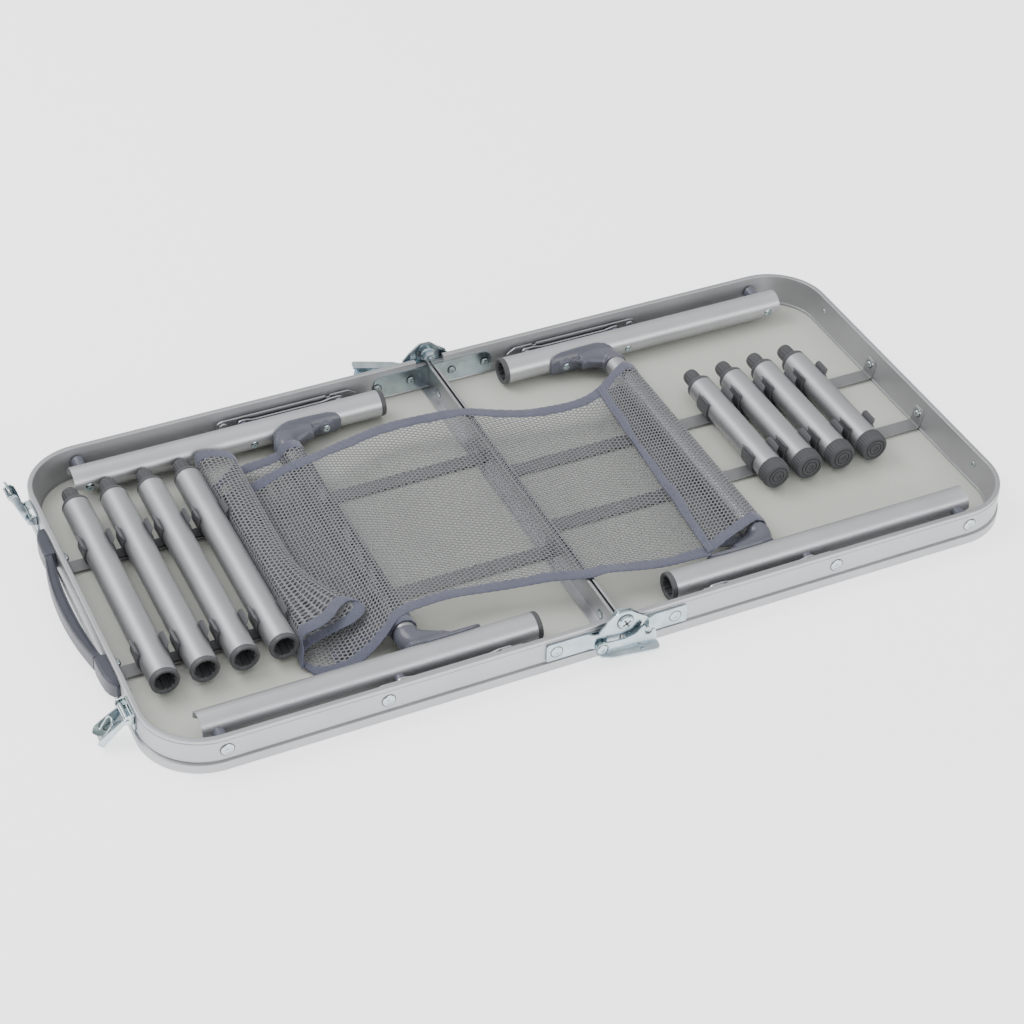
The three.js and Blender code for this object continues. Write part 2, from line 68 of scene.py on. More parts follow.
# ---------------------------------------------------------------- materials
class Nodes:
    """A small helper round a material's node tree."""

    def __init__(self, name):
        self.mat = bpy.data.materials.new(name)
        self.mat.use_nodes = True
        self.tree = self.mat.node_tree
        self.bsdf = self.tree.nodes["Principled BSDF"]
        self.coord = self.tree.nodes.new("ShaderNodeTexCoord").outputs["Object"]

    def link(self, a, b):
        self.tree.links.new(a, b)

    def set(self, **values):
        for key, value in values.items():
            self.bsdf.inputs[key.replace("_", " ")].default_value = value

    def scaled(self, scale, rotation=(0, 0, 0)):
        node = self.tree.nodes.new("ShaderNodeMapping")
        node.inputs["Scale"].default_value = scale
        node.inputs["Rotation"].default_value = rotation
        self.link(self.coord, node.inputs["Vector"])
        return node.outputs["Vector"]

    def noise(self, scale, detail=3.0, vector=None, rough=0.55):
        node = self.tree.nodes.new("ShaderNodeTexNoise")
        node.inputs["Scale"].default_value = scale
        node.inputs["Detail"].default_value = detail
        node.inputs["Roughness"].default_value = rough
        self.link(vector or self.coord, node.inputs["Vector"])
        return node.outputs["Fac"]

    def wave(self, scale, vector=None, direction="X", distortion=0.0):
        node = self.tree.nodes.new("ShaderNodeTexWave")
        node.bands_direction = direction
        node.inputs["Scale"].default_value = scale
        node.inputs["Distortion"].default_value = distortion
        self.link(vector or self.coord, node.inputs["Vector"])
        return node.outputs["Fac"]

    def ramp(self, value, stops):
        node = self.tree.nodes.new("ShaderNodeValToRGB")
        ramp = node.color_ramp
        while len(ramp.elements) < len(stops):
            ramp.elements.new(0.5)
        for element, (at, color) in zip(ramp.elements, stops):
            element.position = at
            element.color = (*color, 1) if hasattr(color, "__len__") else (color, color, color, 1)
        self.link(value, node.inputs["Fac"])
        return node.outputs["Color"]

    def span(self, value, low, high):
        node = self.tree.nodes.new("ShaderNodeMapRange")
        node.inputs["To Min"].default_value = low
        node.inputs["To Max"].default_value = high
        self.link(value, node.inputs["Value"])
        return node.outputs["Result"]

    def math(self, kind, a, b):
        node = self.tree.nodes.new("ShaderNodeMath")
        node.operation = kind
        for socket, value in zip(node.inputs, (a, b)):
            if isinstance(value, (int, float)):
                socket.default_value = value
            else:
                self.link(value, socket)
        return node.outputs["Value"]

    def mix(self, factor, a, b, kind="MIX"):
        node = self.tree.nodes.new("ShaderNodeMix")
        node.data_type = "RGBA"
        node.blend_type = kind
        for socket, value in ((node.inputs[0], factor), (node.inputs[6], a), (node.inputs[7], b)):
            if hasattr(value, "is_linked"):
                self.link(value, socket)
            elif hasattr(value, "__len__"):
                socket.default_value = (*value[:3], 1)
            else:
                socket.default_value = value
        return node.outputs[2]

    def color(self, value):
        self.link(value, self.bsdf.inputs["Base Color"])

    def roughness(self, value):
        self.link(value, self.bsdf.inputs["Roughness"])

    def bump(self, height, distance, strength=1.0):
        node = self.tree.nodes.new("ShaderNodeBump")
        node.inputs["Strength"].default_value = strength
        node.inputs["Distance"].default_value = distance
        self.link(height, node.inputs["Height"])
        self.link(node.outputs["Normal"], self.bsdf.inputs["Normal"])

    def edges(self, low=0.52, high=0.6):
        """1 on sharp outer edges, where the finish wears."""
        geometry = self.tree.nodes.new("ShaderNodeNewGeometry")
        return self.ramp(geometry.outputs["Pointiness"], ((low, 0.0), (high, 1.0)))


def shade(color, factor):
    return tuple(c * factor for c in color)


def satin_metal(name, color, rough, grain, metallic=1.0, wear=0.12, spots=0.0):
    """Anodised or plated sheet: fine grain along one axis, faint clouding, brighter worn edges."""
    n = Nodes(name)
    n.set(Metallic=metallic)
    lines = n.noise(1.0, 4.0, n.scaled(grain), 0.7)
    cloud = n.noise(22.0, 3.0)
    base = n.ramp(cloud, ((0.3, shade(color, 0.93)), (0.7, shade(color, 1.04))))
    base = n.mix(n.ramp(lines, ((0.35, 0.0), (0.75, 0.16))), base, shade(color, 1.16))
    if spots:
        speck = n.noise(900.0, 1.0)
        base = n.mix(n.ramp(speck, ((0.68, 0.0), (0.74, spots))), base, shade(color, 0.55))
    base = n.mix(n.math("MULTIPLY", n.edges(), wear), base, shade(color, 1.35))
    n.color(base)
    n.roughness(n.math("ADD", n.span(lines, -0.06, 0.07), n.span(cloud, rough - 0.04, rough + 0.05)))
    n.bump(lines, 0.00004, 0.35)
    return n.mat


def zinc_plate(name, color, rough):
    """Bright zinc: bluish, with a faint yellow and violet bloom, small pits and darker streaks of painted
    reflection.
    """
    n = Nodes(name)
    n.set(Metallic=1.0)
    bloom = n.noise(38.0, 4.0, None, 0.6)
    base = n.ramp(
        bloom,
        (
            (0.30, shade(color, 0.84)),
            (0.45, (color[0] * 0.97, color[1], color[2] * 1.04)),
            (0.58, (color[0] * 1.06, color[1] * 1.03, color[2] * 0.97)),
            (0.72, shade(color, 1.08)),
        ),
    )
    # Painted reflection: darker streaks in the colour stand in for the dark streaky reflections of the plated
    # metal.
    streak_noise = n.noise(1.0, 3.0, n.scaled((70, 30, 110), (0.2, 0.4, 0.3)), 0.5)
    base = n.mix(n.ramp(streak_noise, ((0.40, 0.55), (0.60, 0.0))), base, shade(color, 0.72))
    n.color(base)
    fine = n.noise(420.0, 3.0)
    n.roughness(n.math("ADD", n.span(bloom, -0.05, 0.06), n.span(fine, rough - 0.03, rough + 0.06)))
    n.bump(n.math("ADD", fine, n.math("MULTIPLY", bloom, 1.5)), 0.00006, 0.4)
    return n.mat


def moulded(name, color, rough, texture=0.00006, coat=0.0, scale=1400.0):
    """Injection-moulded plastic: fine spark-eroded grain, soft mottling, scuffed edges."""
    n = Nodes(name)
    n.set(Metallic=0.0, Specular_IOR_Level=0.25)
    if coat:
        n.set(Coat_Weight=coat, Coat_Roughness=0.2)
    grain = n.noise(scale, 2.0)
    mottle = n.noise(45.0, 4.0)
    base = n.ramp(mottle, ((0.3, shade(color, 0.9)), (0.7, shade(color, 1.08))))
    base = n.mix(n.math("MULTIPLY", n.edges(), 0.3), base, shade(color, 1.8))
    n.color(base)
    n.roughness(n.math("ADD", n.span(grain, -0.05, 0.05), n.span(mottle, rough - 0.05, rough + 0.08)))
    n.bump(grain, texture, 0.5)
    return n.mat


def laminate(name, color):
    """Pale laminate: very fine pebble, faint smears, a few hairline scratches."""
    n = Nodes(name)
    n.set(Metallic=0.0)
    streak_noise = n.noise(9.0, 5.0, n.scaled((1, 0.6, 1), (0, 0, 0.5)), 0.65)
    pebble = n.noise(1500.0, 2.0)
    base = n.ramp(streak_noise, ((0.28, shade(color, 0.95)), (0.72, shade(color, 1.03))))
    fleck = n.noise(2600.0, 1.0)
    base = n.mix(n.ramp(fleck, ((0.62, 0.0), (0.7, 0.22))), base, shade(color, 0.86))
    scratch = n.noise(1.0, 2.0, n.scaled((14, 900, 14), (0, 0, 0.35)))
    base = n.mix(n.ramp(scratch, ((0.70, 0.0), (0.76, 0.25))), base, shade(color, 1.12))
    n.color(base)
    n.roughness(n.math("ADD", n.span(streak_noise, 0.34, 0.5), n.span(pebble, -0.03, 0.03)))
    n.bump(pebble, 0.00003, 0.4)
    return n.mat


def painted(name, color):
    """Grey powder paint over steel: orange peel, bare bright edges."""
    n = Nodes(name)
    n.set(Metallic=0.35)
    peel = n.noise(520.0, 2.0)
    cloud = n.noise(60.0, 3.0)
    base = n.ramp(cloud, ((0.3, shade(color, 0.92)), (0.7, shade(color, 1.06))))
    base = n.mix(n.math("MULTIPLY", n.edges(), 0.7), base, (0.72, 0.73, 0.74))
    n.color(base)
    n.roughness(n.span(cloud, 0.36, 0.5))
    n.bump(peel, 0.00005, 0.4)
    return n.mat


def woven_tape(name, color):
    """Binding tape: a fine plain weave with a soft sheen."""
    n = Nodes(name)
    n.set(Metallic=0.0, Sheen_Weight=0.35, Sheen_Roughness=0.45)
    across = n.wave(420.0, n.scaled((1, 1, 1), (0, 0, 0.7)), "X", 1.2)
    along = n.wave(420.0, n.scaled((1, 1, 1), (0, 0, 0.7)), "Y", 1.2)
    weave = n.math("MULTIPLY", across, along)
    cloud = n.noise(70.0, 4.0)
    base = n.ramp(cloud, ((0.3, shade(color, 0.86)), (0.7, shade(color, 1.1))))
    base = n.mix(n.ramp(weave, ((0.0, 0.4), (0.5, 0.0))), base, shade(color, 0.62))
    n.color(base)
    n.roughness(n.span(cloud, 0.72, 0.88))
    n.bump(n.math("ADD", weave, n.math("MULTIPLY", cloud, 0.6)), 0.0003, 0.7)
    return n.mat


def knitted(name, color):
    """The net's cord: soft filament with light and dark strands."""
    n = Nodes(name)
    n.set(Metallic=0.0, Sheen_Weight=0.3, Sheen_Roughness=0.4)
    strand = n.noise(900.0, 3.0)
    cloud = n.noise(30.0, 4.0)
    base = n.ramp(strand, ((0.3, shade(color, 0.75)), (0.7, shade(color, 1.2))))
    base = n.mix(n.ramp(cloud, ((0.35, 0.0), (0.7, 0.3))), base, shade(color, 0.8))
    n.color(base)
    n.roughness(n.span(strand, 0.6, 0.8))
    n.bump(strand, 0.00015, 0.6)
    return n.mat


ALU = (0.405, 0.411, 0.425)
M = {
    "rim": satin_metal("rim_aluminium", ALU, 0.44, (30, 30, 1600), 0.8, spots=0.10),
    "rail": satin_metal("rail_aluminium", shade(ALU, 0.98), 0.38, (1400, 18, 1400)),
    "tube_x": satin_metal("leg_aluminium", shade(ALU, 1.2), 0.40, (20, 1300, 1300), 0.8, spots=0.14),
    "tube_y": satin_metal("tube_aluminium", shade(ALU, 1.0), 0.46, (1300, 20, 1300), 0.88, spots=0.14),
    "stay": satin_metal("stay_metal", (0.5, 0.51, 0.53), 0.36, (20, 1200, 1200), wear=0.3),
    "zinc": zinc_plate("hinge_zinc", (0.46, 0.54, 0.58), 0.2),
    # Painted shade: a darker copy of the hinge zinc for the ear that lies in the shadow of the hump.
    "zinc_painted_shade": zinc_plate("hinge_zinc_painted_shade", (0.27, 0.32, 0.355), 0.25),
    "latch": zinc_plate("latch_metal", (0.48, 0.55, 0.58), 0.17),
    "board": laminate("board_laminate", (0.53, 0.54, 0.49)),
    "strap": painted("strap_paint", (0.20, 0.204, 0.21)),
    "clip": moulded("clip_plastic", (0.085, 0.086, 0.092), 0.45),
    # Dark plastic of the inserts; the same material also paints shadow: the rings round heads and the screw
    # crosses.
    "dark": moulded("end_plastic_and_painted_shadow", (0.072, 0.073, 0.078), 0.42),
    "rubber": moulded("foot_rubber", (0.068, 0.069, 0.074), 0.55),
    "elbow": moulded("elbow_plastic", (0.10, 0.105, 0.132), 0.3, 0.00004, 0.3),
    "handle": moulded("handle_plastic", (0.055, 0.059, 0.076), 0.5, 0.00008, 0.2),
    "net": knitted("net_knit", (0.175, 0.178, 0.192)),
    "tape": woven_tape("net_tape", (0.098, 0.105, 0.155)),
}


# ---------------------------------------------------------------- meshes
class Piece:
    """Closed shapes of one piece, in millimetres from the fold line."""

    def __init__(self):
        self.verts, self.faces, self.slots = [], [], []

    def add(self, shape, slot=0):
        verts, faces = shape
        start = len(self.verts)
        self.verts += [Vector(v) for v in verts]
        self.faces += [[i + start for i in f] for f in faces]
        self.slots += [slot] * len(faces)
        return self


def loft(rings, cap=True):
    n = len(rings[0])
    verts = [p for ring in rings for p in ring]
    faces = []
    for i in range(len(rings) - 1):
        for k in range(n):
            a, b = i * n + k, i * n + (k + 1) % n
            faces.append([a, b, b + n, a + n])
    if cap:
        last = (len(rings) - 1) * n
        faces.append(list(range(n))[::-1])
        faces.append([last + k for k in range(n)])
    return verts, faces


def around(axis, centre, r, a, t):
    """A point at radius r and angle a about an axis; centre gives the other two coordinates."""
    u, v = centre[0] + r * math.cos(a), centre[1] + r * math.sin(a)
    return {"x": (t, u, v), "y": (u, t, v), "z": (u, v, t)}[axis]


def turned(axis, centre, profile, n=48, cap=True):
    """A turned shape from (radius, place along the axis) pairs; a radius may depend on the step."""
    rings = []
    for r, t in profile:
        rings.append([
            around(axis, centre, r(k) if callable(r) else r, 2 * math.pi * k / n, t(k) if callable(t) else t)
            for k in range(n)
        ])
    return loft(rings, cap)


def extruded(axis, outline, t0, t1):
    put = {
        "x": lambda u, v, t: (t, u, v),
        "y": lambda u, v, t: (u, t, v),
        "z": lambda u, v, t: (u, v, t),
    }[axis]
    return loft([[put(u, v, t) for u, v in outline] for t in (t0, t1)])


def box(x0, x1, y0, y1, z0, z1):
    return extruded("z", [(x0, y0), (x1, y0), (x1, y1), (x0, y1)], z0, z1)


def rounded(points, radius, n=5):
    """A polygon with its corners rounded; radius is one number or one for each corner."""
    out = []
    count = len(points)
    for i, point in enumerate(points):
        r = radius[i] if hasattr(radius, "__len__") else radius
        p, a, b = Vector(point), Vector(points[i - 1]), Vector(points[(i + 1) % count])
        if r <= 0:
            out.append(tuple(p))
            continue
        u, v = (a - p), (b - p)
        reach = min(r / math.tan(u.angle(v) / 2), 0.49 * u.length, 0.49 * v.length)
        s, e = p + u.normalized() * reach, p + v.normalized() * reach
        for k in range(n + 1):
            t = k / n
            out.append(tuple(s * (1 - t) ** 2 + p * (2 * t * (1 - t)) + e * t * t))
    return out


def build_mesh(piece, name, materials, sx=1, sy=1, bevel=0.0, angle=40, segments=2):
    mesh = bpy.data.meshes.new(name)
    flip = sx * sy < 0
    mesh.from_pydata(
        [place(sx * v.x, sy * v.y, v.z) for v in piece.verts],
        [],
        [f[::-1] if flip else f for f in piece.faces],
    )
    for material in materials:
        mesh.materials.append(material)
    mesh.polygons.foreach_set("material_index", piece.slots)
    bm = bmesh.new()
    bm.from_mesh(mesh)
    bmesh.ops.remove_doubles(bm, verts=bm.verts, dist=1e-6)
    bmesh.ops.recalc_face_normals(bm, faces=bm.faces)
    if bevel:
        sharp = [e for e in bm.edges if len(e.link_faces) == 2 and e.calc_face_angle(0) > math.radians(30)]
        bmesh.ops.bevel(bm, geom=sharp, offset=bevel * MM, segments=segments, profile=0.6,
                        affect="EDGES", clamp_overlap=True)
    bm.to_mesh(mesh)
    bm.free()
    mesh.polygons.foreach_set("use_smooth", [True] * len(mesh.polygons))
    mesh.set_sharp_from_angle(angle=math.radians(angle))
    return mesh


def add_object(name, mesh, body, weighted=True):
    obj = bpy.data.objects.new(name, mesh)
    bpy.context.scene.collection.objects.link(obj)
    if weighted:
        modifier = obj.modifiers.new("weighted", "WEIGHTED_NORMAL")
        modifier.keep_sharp = True
    if body:
        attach(obj, body)
    return obj


def make(piece, name, material, body, sx=1, sy=1, bevel=0.0, angle=40, segments=2, stands_for=()):
    materials = material if isinstance(material, (list, tuple)) else [material]
    mesh = build_mesh(piece, name, materials, sx, sy, bevel, angle, segments)
    obj = add_object(name, mesh, body)
    if stands_for:
        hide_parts(*stands_for)
    return obj


def rivet(axis, centre, base, r, out=1, height=None, n=24, hollow=True):
    """A rivet head standing on the plane at base, on the side given by out."""
    h = (height or 0.34 * r) * out
    profile = [(r, base), (r, base + 0.35 * h), (0.86 * r, base + 0.8 * h), (0.6 * r, base + h)]
    if hollow:
        profile += [(0.36 * r, base + h), (0.30 * r, base + 0.35 * h)]
    else:
        profile += [(0.2 * r, base + h)]
    return turned(axis, centre, profile, n)


def painted_shadow_ring(axis, centre, base, r, out=1, n=32):
    """A dark ring of painted shadow round a pressed head, where its gap would be shaded."""
    p = [(r + 0.8, base), (r + 0.8, base + 0.14 * out), (r - 0.3, base + 0.14 * out), (r - 0.3, base),
         (r + 0.65, base)]
    return turned(axis, centre, p, n, cap=False)


def screw(axis, centre, base, r, out=1, turn=0.3):
    """A pan head with a cross recess, which is not cut: the cross is a dark inlay just proud of the dome,
    painted shade for the recess.
    """
    h = 0.45 * r * out
    dome = turned(axis, centre, [(r, base), (r, base + 0.3 * h), (0.85 * r, base + 0.75 * h),
                                 (0.5 * r, base + h), (0.1 * r, base + h)], 24)
    marks = []
    for k in range(2):
        a = turn + k * math.pi / 2
        u, v = Vector((math.cos(a), math.sin(a))), Vector((-math.sin(a), math.cos(a)))
        c = Vector(centre)
        outline = [c + u * (p * r) + v * (q * r) for p, q in
                   ((-0.6, -0.13), (0.6, -0.13), (0.6, 0.13), (-0.6, 0.13))]
        marks.append(extruded(axis, [tuple(p) for p in outline], base + 0.6 * h, base + 1.04 * h))
    return dome, marks


# ---------------------------------------------------------------- rims, rails, boards
def outline_stations(start_x=0.6):
    """Points and outward directions round one half's outline, from the fold at the back to the front."""
    cx, cy = END_X - CORNER, SIDE_Y - CORNER
    out = [((start_x, SIDE_Y), (0, 1)), ((cx * 0.5, SIDE_Y), (0, 1))]
    for k in range(21):
        a = math.pi / 2 * (1 - k / 20)
        out.append(((cx + CORNER * math.cos(a), cy + CORNER * math.sin(a)), (math.cos(a), math.sin(a))))
    out += [((p[0], -p[1]), (d[0], -d[1])) for p, d in reversed(out)]
    return out


RIM_SECTION = rounded(
    [(0, 34.5), (0, 31.6), (-0.45, 31.2), (-0.45, 30.6), (0, 30.2), (0, 11.6), (-1.1, 10.9), (-1.1, 9.9),
     (1.7, 9.3), (1.7, 0.7), (0.6, 0), (-9.3, 0),
     (-9.3, 1.5), (-1.9, 1.5), (-1.9, 5.4), (-9.9, 5.4), (-9.9, 6.8), (-9.0, 8.0), (-4.6, 34.5)],
    [1.0, 0.2, 0, 0, 0.2, 0.3, 0, 0, 0.8, 0.5, 0.4, 0.4, 0.2, 0, 0, 0.4, 0.5, 0.8, 1.0], 3)
HEM_START, NOTCH_TOP = 14.0, 29.0


def rim_shape():
    rings = []
    for (x, y), (nx, ny) in outline_stations():
        if abs(x - 0.6) < 0.01:
            # the hem is cut away beside the hinge
            for at in (x, HEM_START - 0.05):
                rings.append([(at, y + ny * o, min(z, NOTCH_TOP)) for o, z in RIM_SECTION])
            rings.append([(HEM_START, y + ny * o, z) for o, z in RIM_SECTION])
            if y < 0:
                rings[-3:] = rings[-3:][::-1]
        else:
            rings.append([(x + nx * o, y + ny * o, z) for o, z in RIM_SECTION])
    return loft(rings)


def inner_wall(z):
    """How far the inner face of the rim stands inside the outer wall, at height z."""
    return 9.0 - 4.4 * (z - 8.0) / 26.5


for half, s in HALVES:
    body = half + "_half"
    make(Piece().add(rim_shape()), "rim_skin_" + half, M["rim"], body, s,
         angle=34, stands_for=["rim_" + half])
    wall_y = SIDE_Y - 5.2
    rail = Piece()
    section = rounded([(1.0, 0.1), (11.0, 0.1), (11.0, 1.4), (2.4, 1.4), (2.4, 5.4), (11.0, 5.4),
                       (11.0, 6.7), (2.5, 6.7), (2.5, 30.2), (3.5, 30.2), (3.5, 31.4), (1.0, 31.4)],
                      [0, 0, .3, 0, 0, .3, .4, .8, .2, .3, .3, .5], 2)
    rail.add(extruded("y", section, -190.2, 190.2))
    rail.add(box(1.0, 2.4, 190, wall_y, 9, 31.2)).add(box(1.0, 2.4, -wall_y, -190, 9, 31.2))
    make(rail, "centre_rail_sheet_" + half, M["rail"], body, s, bevel=0.25,
         stands_for=["centre_rail_" + half])
    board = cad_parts["board_" + half]
    board.data.materials.clear()
    board.data.materials.append(M["board"])


# ---------------------------------------------------------------- straps and clips
STRAP_Y = {"left": 71.0, "right": 42.0}


def strap_shape(y):
    # distance from the fold, height and half width
    path = [(3.0, 24.0, 6.2), (2.9, 22.0, 7.4), (2.9, 9.2, 7.4), (3.6, 7.9, 7.4), (5.0, 7.5, 7.4),
            (200.0, 7.5, 7.4), (387.0, 7.5, 7.4), (389.6, 8.2, 7.4), (390.9, 10.0, 7.4),
            (392.6, 21.0, 7.4), (393.0, 23.6, 6.4), (393.3, 25.2, 3.9)]
    rings = []
    for i, (x, z, half) in enumerate(path):
        x0, z0 = path[max(i - 1, 0)][:2]
        x1, z1 = path[min(i + 1, len(path) - 1)][:2]
        d = Vector((x1 - x0, z1 - z0)).normalized()
        nx, nz = -d.y * 0.6, d.x * 0.6
        rings.append([(x + nx, y - half, z + nz), (x + nx, y + half, z + nz),
                      (x - nx, y + half, z - nz), (x - nx, y - half, z - nz)])
    return loft(rings)


def clip_shape(x, y, z=STORE_Z, r=LEG_R + 0.3, base=8.4):
    """One cradle: a base block, two springy prongs and lips that curl outwards."""
    def prong(sign):
        inner, outer = [], []
        for k in range(15):
            f = k / 14
            a = math.radians(-90 + 122 * f)
            wall = 2.0 - 0.7 * f
            inner.append((x + sign * r * math.cos(a), z + r * math.sin(a)))
            outer.append((x + sign * (r + wall) * math.cos(a), z + (r + wall) * math.sin(a)))
        for reach, rise, wall in ((0.3, 1.6, 0.3), (1.2, 3.4, 0.3), (2.4, 5.0, 0.3)):
            px, pz = inner[14][0], inner[14][1]
            inner.append((px + sign * reach, pz + rise))
            outer.append((px + sign * (reach + 1.5), pz + rise - wall))
        return inner, outer

    piece = []
    for sign in (-1, 1):
        inner, outer = prong(sign)
        n = len(inner)
        rings = []
        for i in range(n):
            half = 9.0 if i < n - 2 else (8.7, 7.4)[i - n + 2]
            (a, b), (c, d) = inner[i], outer[i]
            rings.append([(a, y - half, b), (a, y + half, b), (c, y + half, d), (c, y - half, d)])
        piece.append(loft(rings))
    block = rounded([(x - 7.6, base), (x + 7.6, base), (x + 6.4, z - 10.2), (x, z - r - 0.1),
                     (x - 6.4, z - 10.2)],
                    [0.6, 0.6, 0.5, 0, 0.5])
    piece.append(extruded("y", block, y - 7.6, y + 7.6))
    return piece


STORE = {
    "left": [262 + 34 * i for i in range(4)],
    "right": [222 + 34 * i for i in range(4)],
}
for half, s in HALVES:
    body = half + "_half"
    for side, t in SIDES:
        y = t * STRAP_Y[half]
        strap = Piece().add(strap_shape(y))
        make(strap, f"strap_bar_{half}_{side}", M["strap"], body, s, bevel=0.25,
             stands_for=[f"strap_{half}_{side}"])
        clips = Piece()
        for x in STORE[half]:
            for shape in clip_shape(x, y):
                clips.add(shape)
        xs = STORE[half]
        clips.add(box(xs[0] - 9, xs[-1] + 9, y - 5.5, y + 5.5, 8.35, 9.5))
        make(clips, f"clips_{half}_{side}", M["clip"], body, s, bevel=0.35,
             stands_for=[f"clip_row_{half}_{side}"])


# ---------------------------------------------------------------- extensions
def ribbed(r, depth, per=4):
    return lambda k: r if k % per < per / 2 else r - depth


def star(r, depth, per=12, rib=2):
    return lambda k: r - (depth if k % per < rib else 0.0)


def spigot_shape(axis, centre, t, out=1):
    """A ribbed plug with a stepped collar, standing on the tube's end at t."""
    p = [(11.9, -0.4), (12.2, 0), (12.2, 1.0), (12.3, 1.2), (12.3, 3.6), (11.6, 4.8), (8.6, 6.4), (7.9, 6.8),
         (ribbed(7.7, 0.4, 6), 7.4), (ribbed(7.5, 0.4, 6), 20.0), (7.2, 21.0), (6.9, 22.6),
         (5.6, 23.8), (2.0, 24.0)]
    return turned(axis, centre, [(r, t + out * d) for r, d in p], 96)


def socket_shape(axis, centre, t, out=1):
    """The insert in a tube's mouth at t: a dark ring round a ribbed eight-sided hole."""
    side = lambda k: 9.3 - 0.45 * abs(math.sin(4 * math.pi * 2 * k / 96))
    p = [(11.0, -26.0), (11.2, -5.0), (12.3, -4.8), (12.5, -4.4), (12.5, -0.7), (12.0, 0), (10.6, 0),
         (10.0, -0.5), (side, -1.4), (star(9.0, 1.1), -1.8), (star(8.4, 1.1), -24.0), (7.6, -26.0)]
    return turned(axis, centre, [(r, t + out * d) for r, d in p], 96, cap=False)


def hollow_tube(axis, centre, t0, t1, r=LEG_R, deep=30.0):
    """A tube open at t0, closed by its plug at t1."""
    d = 1 if t1 > t0 else -1
    p = [(r - 1.3, t0 + d * deep), (r - 1.3, t0), (r - 0.4, t0), (r, t0 + 0.4 * d), (r, (t0 + t1) / 2),
         (r, t1 - 0.4 * d), (r - 0.5, t1)]
    return turned(axis, centre, p, 56)


def foot_shape(axis, centre, t, out=1):
    """A moulded foot on a tube's end at t, with a knurled band and rings in its face."""
    tooth = lambda k: 13.55 if k % 3 else 12.8
    p = [(12.4, -0.3), (13.1, 0), (13.3, 0.7), (tooth, 1.2), (tooth, 9.6), (13.2, 10.3), (12.9, 11.6),
         (11.9, 12.7), (10.4, 13.0), (9.6, 13.0), (9.3, 12.2), (8.5, 12.2), (8.2, 13.0),
         (6.3, 13.0), (6.0, 12.2), (5.2, 12.2),
         (4.9, 13.0), (3.0, 13.0), (2.7, 12.2), (1.2, 12.2)]
    return turned(axis, centre, [(r, t + out * d) for r, d in p], 96)


def tube_shape(axis, centre, t0, t1, r=LEG_R):
    d = 0.35 if t1 > t0 else -0.35
    profile = [(r - 0.5, t0), (r, t0 + d), (r, (t0 + t1) / 2), (r, t1 - d), (r - 0.5, t1)]
    return turned(axis, centre, profile, 56)


def stake_marks(axis, centre, places, angle, r=LEG_R):
    """Small punched dimples that lock the inserts in the tube."""
    out = []
    for t in places:
        ring = []
        for radius, height in ((0.9, -0.3), (0.9, 0.32), (0.5, 0.42), (0.1, 0.3)):
            layer = []
            for k in range(10):
                b = 2 * math.pi * k / 10
                da, dt = radius * math.cos(b) / r, radius * math.sin(b)
                layer.append(around(axis, centre, r + height - 0.25, angle + da, t + dt))
            ring.append(layer)
        out.append(loft(ring))
    return out


for half, s in HALVES:
    long = half == "left"
    kind = "long" if long else "short"
    y0, y1 = (-110.5, 128.0) if long else (-63.0, 68.0)
    for i, x in enumerate(STORE[half]):
        body = f"extension_{kind}_{i + 1}"
        centre = (x, STORE_Z)
        if long:
            tube = Piece().add(hollow_tube("y", centre, y0 + 4.6, y1))
        else:
            tube = Piece().add(tube_shape("y", centre, y0, y1))
        places = (y1 - 3.2, y0 + (9.5 if long else 3.5))
        for mark in stake_marks("y", centre, places, math.radians(72 if s > 0 else 108)):
            tube.add(mark, 1)
        make(tube, body + "_tube", [M["tube_y"], M["rail"]], body, s,
             stands_for=[body])
        ends = Piece().add(spigot_shape("y", centre, y1))
        if long:
            ends.add(socket_shape("y", centre, y0, -1))
        make(ends, body + "_insert", M["dark"], body, s, angle=50)
        if not long:
            make(Piece().add(foot_shape("y", centre, y0, -1)), body + "_foot", M["rubber"],
                 body, s, angle=50)


# ---------------------------------------------------------------- legs and elbows
def leg_tube():
    """A hollow tube whose lower side is cut back where it turns on the rim."""
    centre = (LEG_Y, LEG_Z)

    def end(k, n=56):
        height = math.sin(2 * math.pi * k / n)
        low = min(max((-0.05 - height) / 0.6, 0), 1)
        return 357 - 17 * low * low * (3 - 2 * low)

    inner = LEG_R - 1.2
    profile = [(inner, 100), (inner, 64.8), (LEG_R - 0.4, 64.8), (LEG_R, 65.2), (LEG_R, 200), (LEG_R, 336),
               (LEG_R, end), (inner, end), (inner, 336), (inner, 300)]
    return turned("x", centre, profile, 56)


def smooth_union(piece, name, voxel, rounds):
    """The pieces' union with soft moulded fillets, as a mesh in millimetres drawn in +X and +Y."""
    mesh = bpy.data.meshes.new(name)
    mesh.from_pydata([v * MM for v in piece.verts], [], piece.faces)
    bm = bmesh.new()
    bm.from_mesh(mesh)
    bmesh.ops.recalc_face_normals(bm, faces=bm.faces)
    bm.to_mesh(mesh)
    bm.free()
    obj = bpy.data.objects.new(name, mesh)
    bpy.context.scene.collection.objects.link(obj)
    remesh = obj.modifiers.new("remesh", "REMESH")
    remesh.mode = "VOXEL"
    remesh.voxel_size = voxel * MM
    smooth = obj.modifiers.new("smooth", "SMOOTH")
    smooth.factor = 0.5
    smooth.iterations = rounds
    graph = bpy.context.evaluated_depsgraph_get()
    graph.update()
    done = obj.evaluated_get(graph).to_mesh()
    out = Piece()
    out.add(([v.co / MM for v in done.vertices], [list(p.vertices) for p in done.polygons]))
    bpy.data.objects.remove(obj)
    return out


